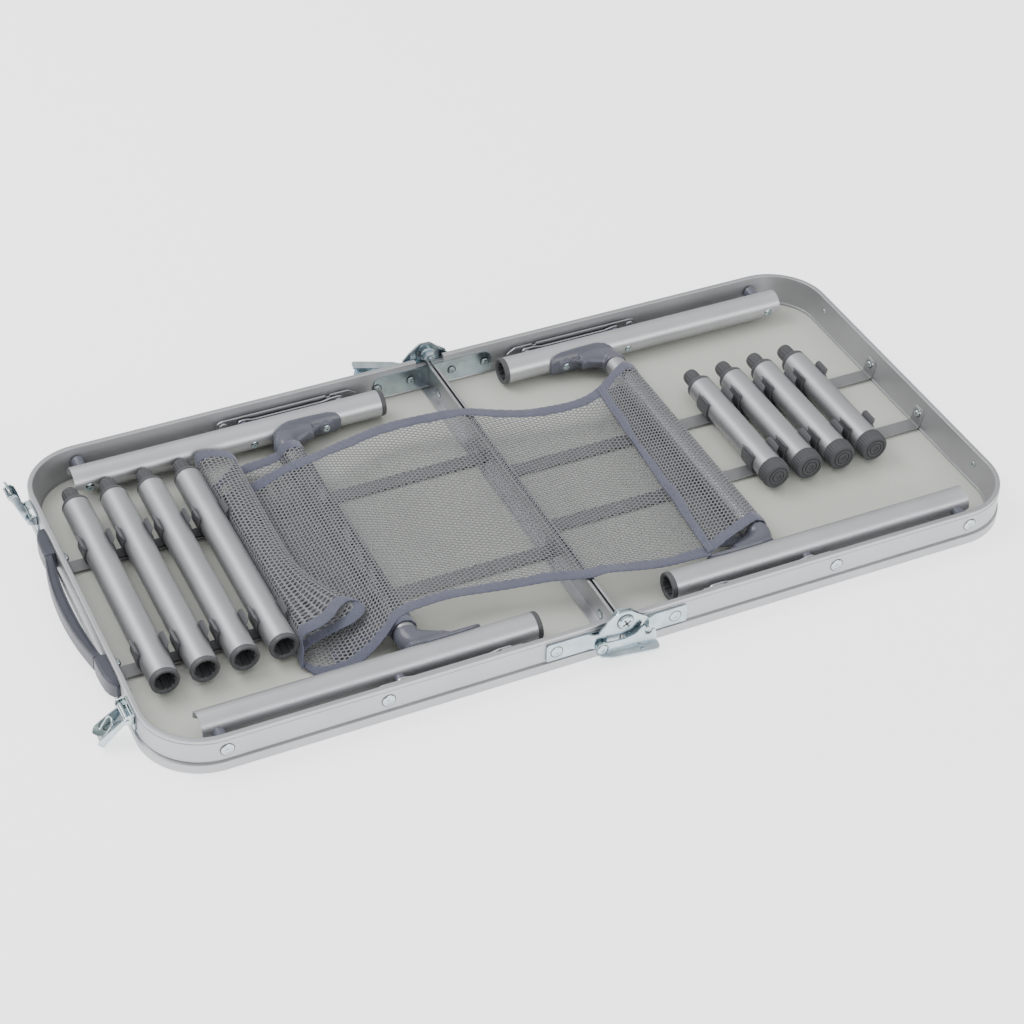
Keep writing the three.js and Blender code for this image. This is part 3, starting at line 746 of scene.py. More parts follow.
def swept(points, radii, n=20, up=Vector((0, 0, 1))):
    rings = []
    for i, p in enumerate(points):
        d = (points[min(i + 1, len(points) - 1)] - points[max(i - 1, 0)]).normalized()
        side = d.cross(up).normalized()
        top = side.cross(d).normalized()
        rings.append([p + side * (radii[i] * math.cos(a)) + top * (radii[i] * math.sin(a))
                      for a in (2 * math.pi * k / n for k in range(n))])
    return loft(rings)


def bezier(p0, p1, p2, n):
    out = []
    for k in range(n + 1):
        t = k / n
        out.append(Vector(p0) * (1 - t) ** 2 + Vector(p1) * (2 * t * (1 - t)) + Vector(p2) * t * t)
    return out


def elbow_blank():
    piece = Piece()
    bend = bezier((165, 133.6, LEG_Z), (170, 153.5, LEG_Z), (136, 151.5, LEG_Z), 12)
    piece.add(swept(bend, [11.4] * 3 + [11.0] * 4 + [10.4, 9.8, 9.2, 8.6, 8.0, 7.4]))
    rings = []
    for x, spread in ((106.5, 20), (108, 34), (111, 46), (118, 54), (140, 58), (156, 58), (164, 50),
                      (170, 34), (173, 16)):
        ring = []
        for k in range(9):
            a = math.radians(180 + spread * (k - 4) / 4)
            ring.append(around("x", (LEG_Y, LEG_Z), 15.6, a, x))
        for k in range(9):
            a = math.radians(180 + spread * (4 - k) / 4)
            ring.append(around("x", (LEG_Y, LEG_Z), 12.2, a, x))
        rings.append(ring)
    piece.add(loft(rings))
    piece.add(extruded("z", [(130, 150), (159, 134.5), (166, 150)], LEG_Z + 1.2, LEG_Z + 4.8))
    piece.add(turned("y", (122, LEG_Z - 0.3), [(6.4, 154), (6.4, 150.6), (5.6, 150.2)], 20))
    return piece


elbow = smooth_union(elbow_blank(), "elbow_blank", 0.85, 7)
for half, s in HALVES:
    body = "legs_" + half
    cross = Piece().add(tube_shape("y", (165, LEG_Z), -134, 134, 10.0))
    make(cross, f"cross_tube_{half}_skin", M["tube_y"], body, s,
         stands_for=[f"cross_tube_{half}"])
    for side, t in SIDES:
        tube = Piece().add(leg_tube())
        for mark in stake_marks("x", (LEG_Y, LEG_Z), (69.5,), math.radians(90 + t * 22)):
            tube.add(mark)
        make(tube, f"leg_tube_{half}_{side}", M["tube_x"], body, s, t,
             stands_for=[f"leg_{half}_{side}"])
        make(Piece().add(socket_shape("x", (LEG_Y, LEG_Z), 60.5, -1)), f"leg_insert_{half}_{side}",
             M["dark"], body, s, t, angle=50)
        make(elbow, f"elbow_moulding_{half}_{side}", M["elbow"], body, s, t, angle=60,
             stands_for=[f"elbow_{half}_{side}"])
        fixings = Piece()
        fixings.add(rivet("y", (344, 19.5), LEG_Y - 12.1, 4.2, -1))
        fixings.add(rivet("y", (190, 19.5), LEG_Y - 12.1, 3.6, -1))
        fixings.add(rivet("y", (122, LEG_Z - 0.3), 150.4, 3.6, -1))
        make(fixings, f"leg_fixings_{half}_{side}", M["latch"], body, s, t)
        spacers = Piece()
        pivot_spacer = [(5.4, LEG_Y + 11), (5.4, LEG_Y + 14.5), (5.8, 188), (6.6, 191.6)]
        spacers.add(turned("y", (344, LEG_Z), pivot_spacer, 28))
        stay_spacer = [(4.6, LEG_Y + 12), (4.6, LEG_Y + 15), (3.8, LEG_Y + 17.4)]
        spacers.add(turned("y", (190, LEG_Z), stay_spacer, 24))
        make(spacers, f"leg_spacers_{half}_{side}", M["elbow"], body, s, t)


# ---------------------------------------------------------------- stays
span = math.hypot(154, 136)
MID_X = 208 - (span + 18) / 2
for half, s in HALVES:
    for side, t in SIDES:
        name = f"{half}_{side}"
        tail = MID_X - 14
        outline = rounded(
            [(tail - 5.5, 17.6), (tail - 1, 14.6), (208, 14.6), (214.4, 16.5), (214.4, 25.5), (208, 27.4),
             (108, 27.4), (107, 25.4), (104, 25.4), (103, 27.4), (tail + 3, 27.4), (tail - 5.5, 22.0)],
            [1.5, 2, 4, 4, 4, 4, 0.6, 0.5, 0.5, 0.6, 3, 2], 4)
        rim_link = Piece().add(extruded("y", outline, 188.0, 189.6))
        rim_link.add(turned("y", (208, LEG_Z), [(4.4, 189.5), (4.4, 193)], 24))
        rim_link.add(rivet("y", (208, LEG_Z), 188.1, 4.2, -1))
        rim_link.add(rivet("y", (MID_X, LEG_Z), 189.5, 3.6, 1))
        rim_link.add(turned("y", (MID_X, LEG_Z), [(3.2, 186.3), (3.2, 188.2)], 20))
        make(rim_link, "stay_rim_bar_" + name, M["stay"], "stay_rim_" + name, s, t,
             bevel=0.2, stands_for=["stay_rim_link_" + name])
        waist = rounded(
            [(MID_X - 5, 16), (MID_X + 8, 16), (MID_X + 16, 17.6), (180, 17.6), (187, 16), (195, 16),
             (195, 26), (187, 26), (180, 24.4), (MID_X + 16, 24.4), (MID_X + 8, 26), (MID_X - 5, 26)],
            [4.5, 2, 3, 3, 2, 4.5, 4.5, 2, 3, 3, 2, 4.5], 4)
        leg_link = Piece().add(extruded("y", waist, 184.6, 186.2))
        leg_link.add(rivet("y", (MID_X, LEG_Z), 184.7, 3.4, -1))
        make(leg_link, "stay_leg_bar_" + name, M["stay"], "stay_leg_" + name, s, t,
             bevel=0.2, stands_for=["stay_leg_link_" + name])


# ---------------------------------------------------------------- centre hinges
def bent_strip(path, thick, z0, z1):
    """A sheet bent along a path in X and Y, standing from z0 to z1."""
    left, right = [], []
    for i, p in enumerate(path):
        a, b = Vector(path[max(i - 1, 0)]), Vector(path[min(i + 1, len(path) - 1)])
        d = (b - a).normalized()
        n = Vector((-d.y, d.x)) * thick / 2
        left.append(tuple(Vector(p) + n))
        right.append(tuple(Vector(p) - n))
    return extruded("z", left + right[::-1], z0, z1)


PIN_Z = 36.0
HUMP = rounded([(-24.5, 30.0), (-16.7, 38.5), (-6.4, 46.6), (4.5, 46.2), (12.2, 40.2), (21.2, 33.6),
                (17.0, 26.6), (5.5, 22.2), (-2.3, 22.1), (-13.0, 25.2)],
               [1.5, 4, 7, 8, 6, 1.6, 3, 6, 5, 6], 6)


for side, t in SIDES:
    left = Piece()
    plate = rounded([(-69, 12), (-3, 12), (-3, 29.5), (-69, 29.5)], [1.5, 1, 1, 3])
    left.add(extruded("y", plate, 200.3, 202.1))
    step = [(-36, 201.2), (-32.5, 201.3), (-30.5, 202.4), (-28.5, 204.4), (-26.5, 205.4), (-16, 205.5)]
    left.add(bent_strip(step, 1.8, 15.0, 29.4))
    left.add(extruded("y", HUMP, 204.6, 206.4))
    left.add(turned("y", (0, PIN_Z), [(3, 196), (3, 205)], 24))
    dome, marks = screw("y", (0, PIN_Z), 206.3, 7.0, 1, 0.5)
    left.add(dome)
    left.add(turned("y", (0, PIN_Z), [(7.4, 203.0), (7.4, 199.6), (6.6, 198.8)], 28))
    nut = [(6.2, 199.4), (6.2, 194.6), (5.2, 193.6), (3.0, 193.4), (2.6, 194.6)]
    left.add(turned("y", (0, PIN_Z), nut, 6))
    left.add(turned("y", (0, PIN_Z), [(2.6, 195), (2.6, 192.2), (2.0, 191.6), (0.4, 191.6)], 16))
    left.add(rivet("y", (-60, 20.6), 202.0, 5.0, 1, 0.9))
    make(left, "hinge_hump_" + side, M["zinc"], "left_half", 1, t, bevel=0.35,
         stands_for=["hinge_plate_left_" + side])
    # Painted shade: a dark cross stands for the screw's shaded recess, and dark rings stand for the shaded
    # gaps round the screw and rivet heads.
    cross = Piece()
    for mark in marks:
        cross.add(mark)
    cross.add(painted_shadow_ring("y", (0, PIN_Z), 206.35, 7.0)).add(painted_shadow_ring("y", (-60, 20.6), 202.05, 5.0))
    make(cross, "hinge_screw_painted_shade_" + side, M["dark"], "left_half", 1, t)

    right = Piece()
    plate = rounded([(3, 12), (61, 12), (61, 29.5), (3, 29.5)], [1, 1.5, 3, 1])
    right.add(extruded("y", plate, 200.3, 202.1))
    ear = rounded([(3, 14), (24, 14), (24, 29.5), (12, 40), (6, 46.2), (-6, 46.2), (-10.4, 38), (-9, 30),
                   (3, 26)],
                  [2, 1, 2, 4, 6, 6, 4, 4, 1], 6)
    # The ear takes the darker zinc of slot 1: painted shade from the hump in front of it.
    right.add(extruded("y", ear, 202.4, 204.3), 1)
    right.add(bent_strip([(20, 203.35), (24, 203.3), (26.5, 202.6), (29, 201.6), (31.5, 201.2), (35, 201.2)],
                         1.8, 14.2, 29.3))
    right.add(turned("y", (20.5, 22), [(2.6, 204), (2.6, 208.2), (2.0, 208.8), (0.5, 208.8)], 20))
    right.add(rivet("y", (50, 20.6), 202.0, 5.0, 1, 0.9))
    # a dark ring of painted shadow round the rivet head
    right.add(painted_shadow_ring("y", (50, 20.6), 202.05, 5.0), 2)
    make(right, "hinge_ear_" + side, [M["zinc"], M["zinc_painted_shade"], M["dark"]], "right_half",
         1, t, bevel=0.35, stands_for=["hinge_plate_right_" + side])

    lever = Piece()
    hook = rounded([(-26.8, 11.6), (-27.8, 17.5), (-25.6, 21.9), (-21.4, 22.9), (-16.5, 22.0), (-1.8, 20.6),
                    (8.6, 23.0), (13.0, 27.8), (16.4, 29.4), (17.6, 27.0), (16.4, 22.4),
                    (18.6, 18.0), (22.6, 18.4),
                    (24.2, 22.6), (26.6, 22.4), (28.4, 15.0), (28.2, 6.6)],
                   [3, 5, 5, 3, 4, 6, 5, 2, 1.4, 1.4, 2, 2.4, 2.4, 1, 1.2, 3, 0.6], 5)
    lever.add(extruded("y", hook, 209.2, 210.7))
    lip = []
    for x, low, reach, drop in ((-26.0, 11.5, 211.6, 0.6), (-23.5, 11.2, 213.8, 1.4), (-14, 10.3, 216.0, 2.2),
                                (6, 8.5, 216.6, 2.4), (22, 7.0, 216.8, 2.6), (28.2, 6.4, 216.6, 2.7),
                                (30.0, 6.2, 214.6, 2.0)):
        lip.append([(x, 209.3, low), (x, reach, low - drop),
                    (x, reach, low - drop + 1.5), (x, 209.3, low + 1.5)])
    lever.add(loft(lip))
    lever.add(rivet("y", (-22, 16), 210.6, 4.8, 1, 1.1))
    lever.add(turned("y", (-22, 16), [(4.2, 202.2), (4.2, 209.4)], 24))
    lever.add(turned("z", (14, 213.4), [(2.0, 7.2), (1.9, 8.4), (1.2, 8.6)], 16))
    # a dark ring of painted shadow round the pivot rivet
    lever.add(painted_shadow_ring("y", (-22, 16), 210.72, 4.8), 1)
    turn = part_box("lock_lever_" + side)
    mesh = build_mesh(lever, "lock_lever_plate_" + side, [M["zinc"], M["dark"]], 1, t, 0.3)
    if side == "back":
        pivot = place(-22, 0, 16)
        mesh.transform(Matrix.Translation(pivot) @ Matrix.Rotation(math.radians(-170), 4, "Y")
                       @ Matrix.Translation(-pivot))
    obj = add_object("lock_lever_plate_" + side, mesh, "lock_lever_" + side)
    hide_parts("lock_lever_" + side)

    for half, s in HALVES:
        inner = Piece()
        x1 = 58 if s < 0 else 62
        rings = []
        for x, z0, z1 in ((2.6, 8.5, 27.5), (4, 8.5, 28.5), (x1 - 6, 8.5, 28.5), (x1 - 1.2, 9.5, 26.0),
                          (x1, 13, 22)):
            ya = SIDE_Y - inner_wall(z0) - 0.25
            yb = SIDE_Y - inner_wall(z1) - 0.25
            rings.append([(x, ya, z0), (x, ya - 1.3, z0), (x, yb - 1.3, z1), (x, yb, z1)])
        inner.add(loft(rings))
        for x in (21, 55):
            z = 18.0
            inner.add(rivet("y", (x, z), SIDE_Y - inner_wall(z) - 1.3, 3.7, -1, 1.7))
            # a dark ring of painted shadow round each rivet head
            inner.add(painted_shadow_ring("y", (x, z), SIDE_Y - inner_wall(z) - 1.75, 3.7, -1), 1)
        make(inner, f"hinge_backing_{half}_{side}", [M["zinc"], M["dark"]], half + "_half",
             s, t, bevel=0.3)


# ---------------------------------------------------------------- rivets through the walls
for half, s in HALVES:
    body = half + "_half"
    heads = Piece()
    for side, t in SIDES:
        for x in (344, 208):
            head = [(5.5, 199.9), (5.5, 200.5), (4.9, 201.1), (3.2, 201.3), (2.9, 200.9), (1.4, 200.9),
                    (1.1, 201.5), (0.3, 201.6)]
            shape = turned("y", (x, LEG_Z), head, 36)
            # a dark ring of painted shadow round each wall rivet head
            ring = painted_shadow_ring("y", (x, LEG_Z), 199.98, 5.5)
            for (verts, faces), slot in ((shape, 0), (ring, 1)):
                heads.add(([(p[0], t * p[1], p[2]) for p in verts], faces), slot)
        heads.add(rivet("x", (t * 168, 13.5), 2.4, 3.6, 1, 1.1))
        # dark rings of painted shadow round the heads here and below
        heads.add(painted_shadow_ring("x", (t * 168, 13.5), 2.45, 3.6), 1)
        y = t * STRAP_Y[half]
        z = 19.5
        x = END_X - inner_wall(z)
        heads.add(turned("x", (y, z), [(4.6, x - 0.9), (4.4, x - 1.6), (3.8, x - 1.9)], 24))
        heads.add(rivet("x", (y, z), x - 1.8, 3.4, -1, 1.8))
        heads.add(painted_shadow_ring("x", (y, z), x - 1.9, 3.4, -1), 1)
        z = 23.0
        x = END_X - inner_wall(z)
        if s > 0:
            heads.add(rivet("x", (t * 131, z), x + 0.2, 2.8, -1, 1.3))
        else:
            for dy in (-22, 22):
                heads.add(rivet("x", (t * 96 + dy * 0.6, z), x + 0.2, 2.4, -1, 1.2))
    make(heads, "rivets_" + half, [M["latch"], M["dark"]], body, s)


# ---------------------------------------------------------------- handle
def handle_mount(t):
    """A moulded foot that swells from the wall towards the grip."""
    rings = []
    for y, reach, z0, z1, r in ((68.0, 9.3, 13.8, 30.6, 2.2), (69.2, 10.2, 13.2, 31.0, 2.6),
                                (74, 10.4, 13, 31, 2.8), (84, 10.2, 13, 31, 2.8), (93, 9.4, 13, 31, 2.6),
                                (99, 7.6, 13.4, 30.6, 2.4),
                                (103, 5.4, 14.2, 29.8, 2.0), (106, 2.6, 16, 28, 1.0)):
        outline = rounded([(400.2, z0), (400.2 + reach, z0), (400.2 + reach, z1), (400.2, z1)],
                          [0, r, r, 0], 5)
        rings.append([(u, t * y, v) for u, v in outline])
    return loft(rings)


def handle_grip():
    rings = []
    n = 36
    for k in range(n + 1):
        f = k / n * 2 - 1
        y = 67.6 * f
        bow = 1 - f * f
        inside = 403.2 + 4.8 * bow
        outside = 410.6 + 7.4 * bow
        high = 30.2 - 0.5 * bow
        groove = 1.5 * min(1, bow * 3.0)
        lip = 1.5
        outline = [(inside, 14.4 + 0.9), (inside + 1.1, 14.2), (outside - 1.8, 14.0), (outside, 15.8),
                   (outside, high - 2.0), (outside - 0.8, high - 0.3), (outside - lip - 0.3, high),
                   (outside - lip - 0.6, high - groove), (inside + lip + 0.5, high - groove),
                   (inside + lip + 0.2, high), (inside + 0.6, high - 0.2), (inside, high - 1.0)]
        rings.append([(u, y, v) for u, v in outline])
    return loft(rings)


grip = Piece().add(handle_grip())
make(grip, "handle_grip_moulding", M["handle"], "handle_grip", -1, bevel=0.4, angle=50,
     stands_for=["handle_grip"])
for side, t in SIDES:
    mount = Piece().add(handle_mount(t))
    make(mount, "handle_foot_" + side, M["handle"], "left_half", -1, 1, bevel=0.5, angle=50,
         stands_for=["handle_mount_" + side])


# ---------------------------------------------------------------- latches
LATCH_Y, LATCH_X, LATCH_Z = 133.0, 406.5, 26.0
LATCH_OUT = {"front": 132, "back": 22}
HOOK_FOLD = {"front": 165, "back": 0}


def spun(piece, x, z, degrees):
    """Turned about an axis along Y; positive takes +Z towards +X."""
    c, s = math.cos(math.radians(degrees)), math.sin(math.radians(degrees))
    for v in piece.verts:
        dx, dz = v.x - x, v.z - z
        v.x, v.z = x + dx * c + dz * s, z - dx * s + dz * c
    return piece


def latch_base():
    piece = Piece()
    y0, y1 = LATCH_Y - 12, LATCH_Y + 12
    piece.add(extruded("x", rounded([(y0, 13.4), (y1, 13.4), (y1, 31.6), (y0, 31.6)], 2), 400.3, 401.7))
    for y in (y0, y1 - 1.5):
        ear = rounded([(400.4, 21), (409.6, 22.6), (409.6, 29.4), (400.4, 31)], [0.5, 3, 3, 0.5])
        piece.add(extruded("y", ear, y, y + 1.5))
    piece.add(turned("y", (LATCH_X, LATCH_Z), [(1.5, y0 - 0.9), (1.5, y1 + 0.9)], 16))
    for y in (LATCH_Y - 6.5, LATCH_Y + 6.5):
        piece.add(rivet("x", (y, 17.2), 401.6, 2.2, 1, 1.0))
    return piece


def latch_lever():
    """A pressed channel, wide at its free end, open towards the wall."""
    x, z = LATCH_X, LATCH_Z
    rings = []
    for dz, half, deep in ((-2.6, 7.6, 3.0), (2, 8.6, 4.4), (10, 9.0, 5.8), (20, 9.0, 7.4), (27, 9.0, 8.0),
                           (30.4, 8.8, 7.6), (32, 7.8, 6.4)):
        top = x + 4.0 + (0.9 if dz > 29 else 0)
        outline = [(LATCH_Y - half, top - deep), (LATCH_Y - half, top - 0.8), (LATCH_Y - half + 0.8, top),
                   (LATCH_Y + half - 0.8, top), (LATCH_Y + half, top - 0.8), (LATCH_Y + half, top - deep),
                   (LATCH_Y + half - 1.2, top - deep), (LATCH_Y + half - 1.2, top - 1.3),
                   (LATCH_Y - half + 1.2, top - 1.3), (LATCH_Y - half + 1.2, top - deep)]
        rings.append([(v, u, z + dz) for u, v in outline])
    piece = Piece().add(loft(rings))
    piece.add(turned("y", (x, z), [(2.5, LATCH_Y - 8.4), (2.5, LATCH_Y + 8.4)], 20))
    return piece


def latch_bail():
    """A wire loop that turns in the lever and pulls the catch."""
    x, z, half, reach = LATCH_X, LATCH_Z + 25, 5.4, 16.2
    path = [Vector((x, LATCH_Y - 7.4, z)), Vector((x, LATCH_Y - half - 0.6, z)),
            Vector((x, LATCH_Y - half, z + 0.8))]
    path.append(Vector((x, LATCH_Y - half, z + reach - 5)))
    for k in range(9):
        a = math.pi * (1 - k / 8)
        path.append(Vector((x, LATCH_Y + half * math.cos(a), z + reach - 4.6 + 4.6 * math.sin(a))))
    path.append(Vector((x, LATCH_Y + half, z + reach - 5)))
    path += [Vector((x, LATCH_Y + half, z + 0.8)), Vector((x, LATCH_Y + half + 0.6, z)),
             Vector((x, LATCH_Y + 7.4, z))]
    return Piece().add(swept(path, [0.9] * len(path), 12, Vector((1, 0, 0))))


for side, t in SIDES:
    out, fold = LATCH_OUT[side], HOOK_FOLD[side]
    make(latch_base(), "latch_bracket_" + side, M["latch"], "left_half", -1, t, bevel=0.25,
         stands_for=["latch_base_" + side])
    lever = spun(latch_lever(), LATCH_X, LATCH_Z, out)
    make(lever, "latch_channel_" + side, M["latch"], "latch_lever_" + side, -1, t, bevel=0.2,
         stands_for=["latch_lever_" + side])
    hook = spun(latch_bail(), LATCH_X, LATCH_Z + 25, -fold)
    hook = spun(hook, LATCH_X, LATCH_Z, out)
    make(hook, "latch_bail_" + side, M["latch"], "latch_hook_" + side, -1, t,
         stands_for=["latch_hook_" + side])
    catch = Piece()
    plate = rounded([(t * LATCH_Y - 9, 13.5), (t * LATCH_Y + 9, 13.5), (t * LATCH_Y + 9, 31),
                     (t * LATCH_Y - 9, 31)], 2)
    catch.add(extruded("x", plate, 400.2, 401.5))
    lip = [(400.4, 26.0), (402.8, 26.6), (404.6, 24.2), (405.4, 25.0), (403.2, 28.0), (400.4, 28.2)]
    catch.add(extruded("y", lip, t * LATCH_Y - 6, t * LATCH_Y + 6))
    for y in (-5, 5):
        catch.add(rivet("x", (t * LATCH_Y + y, 18.5), 401.4, 2.1, 1, 1.0))
    make(catch, "catch_plate_" + side, M["latch"], "right_half", 1, 1, bevel=0.25)


# ---------------------------------------------------------------- netting
NET_WIDTH = 245.0


class Sheet:
    """A surface strung between matching points on its back and front edges."""

    def __init__(self, stations, width=NET_WIDTH, sag=None, wrinkle=0.6, seed=0.0, flare=None):
        back = np.array([b for b, _ in stations], float)
        front = np.array([f for _, f in stations], float)
        sag = np.array(sag if sag is not None else [0.0] * len(stations), float)
        flare = np.array(flare if flare is not None else [(0, 0, 0)] * len(stations), float)
        fine_b, fine_f, fine_s, fine_x = [], [], [], []
        count = len(stations)
        for i in range(count - 1):
            for k in range(14):
                t = k / 14
                w = self.catmull(t)
                idx = [max(i - 1, 0), i, i + 1, min(i + 2, count - 1)]
                fine_b.append(sum(w[j] * back[idx[j]] for j in range(4)))
                fine_f.append(sum(w[j] * front[idx[j]] for j in range(4)))
                fine_s.append(sum(w[j] * sag[idx[j]] for j in range(4)))
                fine_x.append(sum(w[j] * flare[idx[j]] for j in range(4)))
        for fine, last in ((fine_b, back), (fine_f, front), (fine_s, sag), (fine_x, flare)):
            fine.append(last[-1])
        b, f, s, x = (np.array(fine) for fine in (fine_b, fine_f, fine_s, fine_x))
        middle = (b + f) / 2
        steps = np.linalg.norm(np.diff(middle, axis=0), axis=1)
        self.u = np.concatenate([[0], np.cumsum(steps)])
        self.length = self.u[-1]
        self.width = width
        self.v = np.linspace(-5.0, width + 5.0, 90)
        t = self.v / width
        grid = b[:, None, :] * (1 - t)[None, :, None] + f[:, None, :] * t[None, :, None]
        bow = 4 * t * (1 - t)
        grid[:, :, 2] += s[:, None] * np.clip(bow, 0, 1)[None, :]
        # near the front edge the folds spread out
        grid += x[:, None, :] * (np.clip((t - 0.55) / 0.45, 0, 1.03) ** 2)[None, :, None]
        if wrinkle:
            uu, vv = np.meshgrid(self.u, self.v, indexing="ij")
            ripple = (np.sin(uu / 13.0 + 2.1 * np.sin(vv / 41.0 + seed))
                      * np.sin(vv / 29.0 + seed * 2 + uu / 60.0)
                      + 0.5 * np.sin(vv / 11.0 + seed) * np.sin(uu / 21.0 + seed))
            grid[:, :, 2] += wrinkle * ripple * np.clip(bow * 4, 0, 1)[None, :]
        self.grid = grid
        du = np.gradient(grid, self.u, axis=0)
        dv = np.gradient(grid, self.v, axis=1)
        normal = np.cross(du, dv)
        self.normal = normal / np.maximum(np.linalg.norm(normal, axis=2, keepdims=True), 1e-9)

    @staticmethod
    def catmull(t):
        return (0.5 * (-t + 2 * t * t - t ** 3), 0.5 * (2 - 5 * t * t + 3 * t ** 3),
                0.5 * (t + 4 * t * t - 3 * t ** 3), 0.5 * (-t * t + t ** 3))

    def sample(self, u, v):
        """Points and normals at distances u along the net and v across it."""
        u = np.clip(np.asarray(u, float), 0, self.length - 1e-6)
        v = np.clip(np.asarray(v, float), self.v[0], self.v[-1] - 1e-6)
        i = np.clip(np.searchsorted(self.u, u, side="right") - 1, 0, len(self.u) - 2)
        j = np.clip(np.searchsorted(self.v, v, side="right") - 1, 0, len(self.v) - 2)
        a = ((u - self.u[i]) / (self.u[i + 1] - self.u[i]))[:, None]
        b = ((v - self.v[j]) / (self.v[j + 1] - self.v[j]))[:, None]

        def mixed(g):
            return (g[i, j] * (1 - a) * (1 - b) + g[i + 1, j] * a * (1 - b)
                    + g[i, j + 1] * (1 - a) * b + g[i + 1, j + 1] * a * b)

        normal = mixed(self.normal)
        return mixed(self.grid), normal / np.maximum(np.linalg.norm(normal, axis=1, keepdims=True), 1e-9)

    def at_x(self, x):
        """The distance along the net where its middle line first reaches x."""
        middle = self.grid[:, self.grid.shape[1] // 2, 0]
        order = np.where(middle <= x)[0]
        return float(self.u[order[0]])


def lattice(sheet, u0, u1, open_knit=0.81, shrunk_from=1e9, pitch=4.05, cord=0.55, edge=3.0):
    """Open hexagonal knit between two distances along a sheet: a thin closed mesh of cords."""
    r = pitch / math.sqrt(3)
    corner, cells = {}, []
    columns = range(int(u0 / (1.5 * r)) - 1, int(u1 / (1.5 * r)) + 2)
    uv = []
    for i in columns:
        cu = i * 1.5 * r
        if not u0 <= cu < u1:
            continue
        hole = open_knit - 0.09 * min(max((cu - shrunk_from) / 40, 0), 1)
        for j in range(int(sheet.width / pitch) + 2):
            cv = (j + 0.5 * (i % 2)) * pitch
            if not edge <= cv <= sheet.width - edge:
                continue
            ring = []
            for k in range(6):
                a = math.pi / 3 * k
                p = (round(cu + r * math.cos(a), 3), round(cv + r * math.sin(a), 3))
                if p not in corner:
                    corner[p] = len(uv)
                    uv.append(p)
                ring.append(corner[p])
            inner = []
            for k in range(6):
                a = math.pi / 3 * k
                inner.append(len(uv))
                uv.append((cu + r * hole * math.cos(a), cv + r * hole * math.sin(a)))
            cells.append((ring, inner))
    uv = np.array(uv)
    point, normal = sheet.sample(uv[:, 0], uv[:, 1])
    n = len(uv)
    verts = np.concatenate([point + normal * cord / 2, point - normal * cord / 2])
    faces = []
    for ring, inner in cells:
        for k in range(6):
            q = (k + 1) % 6
            faces.append((ring[k], ring[q], inner[q], inner[k]))
            faces.append((ring[q] + n, ring[k] + n, inner[k] + n, inner[q] + n))
            faces.append((inner[k], inner[q], inner[q] + n, inner[k] + n))
    return verts, faces


def ribbon(sheet, along, across, thick=1.1, lift=0.0, pucker=0.25):
    """A tape on a sheet: along and across are arrays of distances, one row per step."""
    rows, cols = along.shape
    if across[0, 0] > across[0, -1]:
        along, across = along[:, ::-1], across[:, ::-1]
    point, normal = sheet.sample(along.ravel(), across.ravel())
    wave = pucker * np.sin(along.ravel() * 0.9 + across.ravel() * 0.7)
    crown = np.ones(cols)
    crown[0] = crown[-1] = 0.45
    half = np.tile(crown, rows)[:, None] * thick / 2
    top = point + normal * (lift + wave[:, None] * 1.0 + half)
    low = point + normal * (lift + wave[:, None] * 1.0 - half)
    verts = np.concatenate([top, low])
    n = rows * cols
    faces = []
    for i in range(rows - 1):
        for j in range(cols - 1):
            a = i * cols + j
            faces.append((a, a + 1, a + cols + 1, a + cols))
            faces.append((a + n, a + cols + n, a + cols + 1 + n, a + 1 + n))
        for j in (0, cols - 1):
            a, b = i * cols + j, (i + 1) * cols + j
            faces.append((a, b, b + n, a + n) if j == 0 else (b, a, a + n, b + n))
    for j in range(cols - 1):
        for i in (0, rows - 1):
            a, b = i * cols + j, i * cols + j + 1
            faces.append((b, a, a + n, b + n) if i == 0 else (a, b, b + n, a + n))
    return verts, faces


def edge_tape(sheet, u0, u1, back, width=9.5, thick=1.7, step=2.2, **more):
    steps = max(int((u1 - u0) / step), 2)
    u = np.linspace(u0, u1, steps + 1)
    f = np.linspace(0, 1, 7)
    wander = 0.5 * np.sin(u / 7.3) + 0.35 * np.sin(u / 3.1 + 1.0)
    v = -1.6 + (width + 1.6 + wander)[:, None] * f[None, :] + 0.4 * np.sin(u / 11.0)[:, None]
    if not back:
        v = sheet.width - v
    return ribbon(sheet, np.repeat(u[:, None], 7, 1), v, thick, **more)


def cross_tape(sheet, u, width=9.0, thick=1.3, sway=1.6, seed=0.0, **more):
    v = np.linspace(0, sheet.width, 90)
    shift = sway * np.sin(v / 23.0 + seed) + 0.5 * sway * np.sin(v / 9.0 + seed * 3)
    across = np.linspace(-width / 2, width / 2, 6)
    along = u + shift[:, None] + across[None, :]
    return ribbon(sheet, along, np.repeat(v[:, None], 6, 1), thick, **more)


def net_object(name, shapes, material):
    verts = np.concatenate([np.array(v, float) for v, _ in shapes])
    faces, start = [], 0
    for v, f in shapes:
        faces += [tuple(i + start for i in face) for face in f]
        start += len(v)
    verts = (verts + np.array([FOLD_X, 0, 0])) * MM
    mesh = bpy.data.meshes.new(name)
    mesh.from_pydata(verts.tolist(), [], faces)
    mesh.materials.append(material)
    mesh.polygons.foreach_set("use_smooth", [True] * len(mesh.polygons))
    mesh.set_sharp_from_angle(angle=math.radians(50))
    return add_object(name, mesh, None, weighted=False)


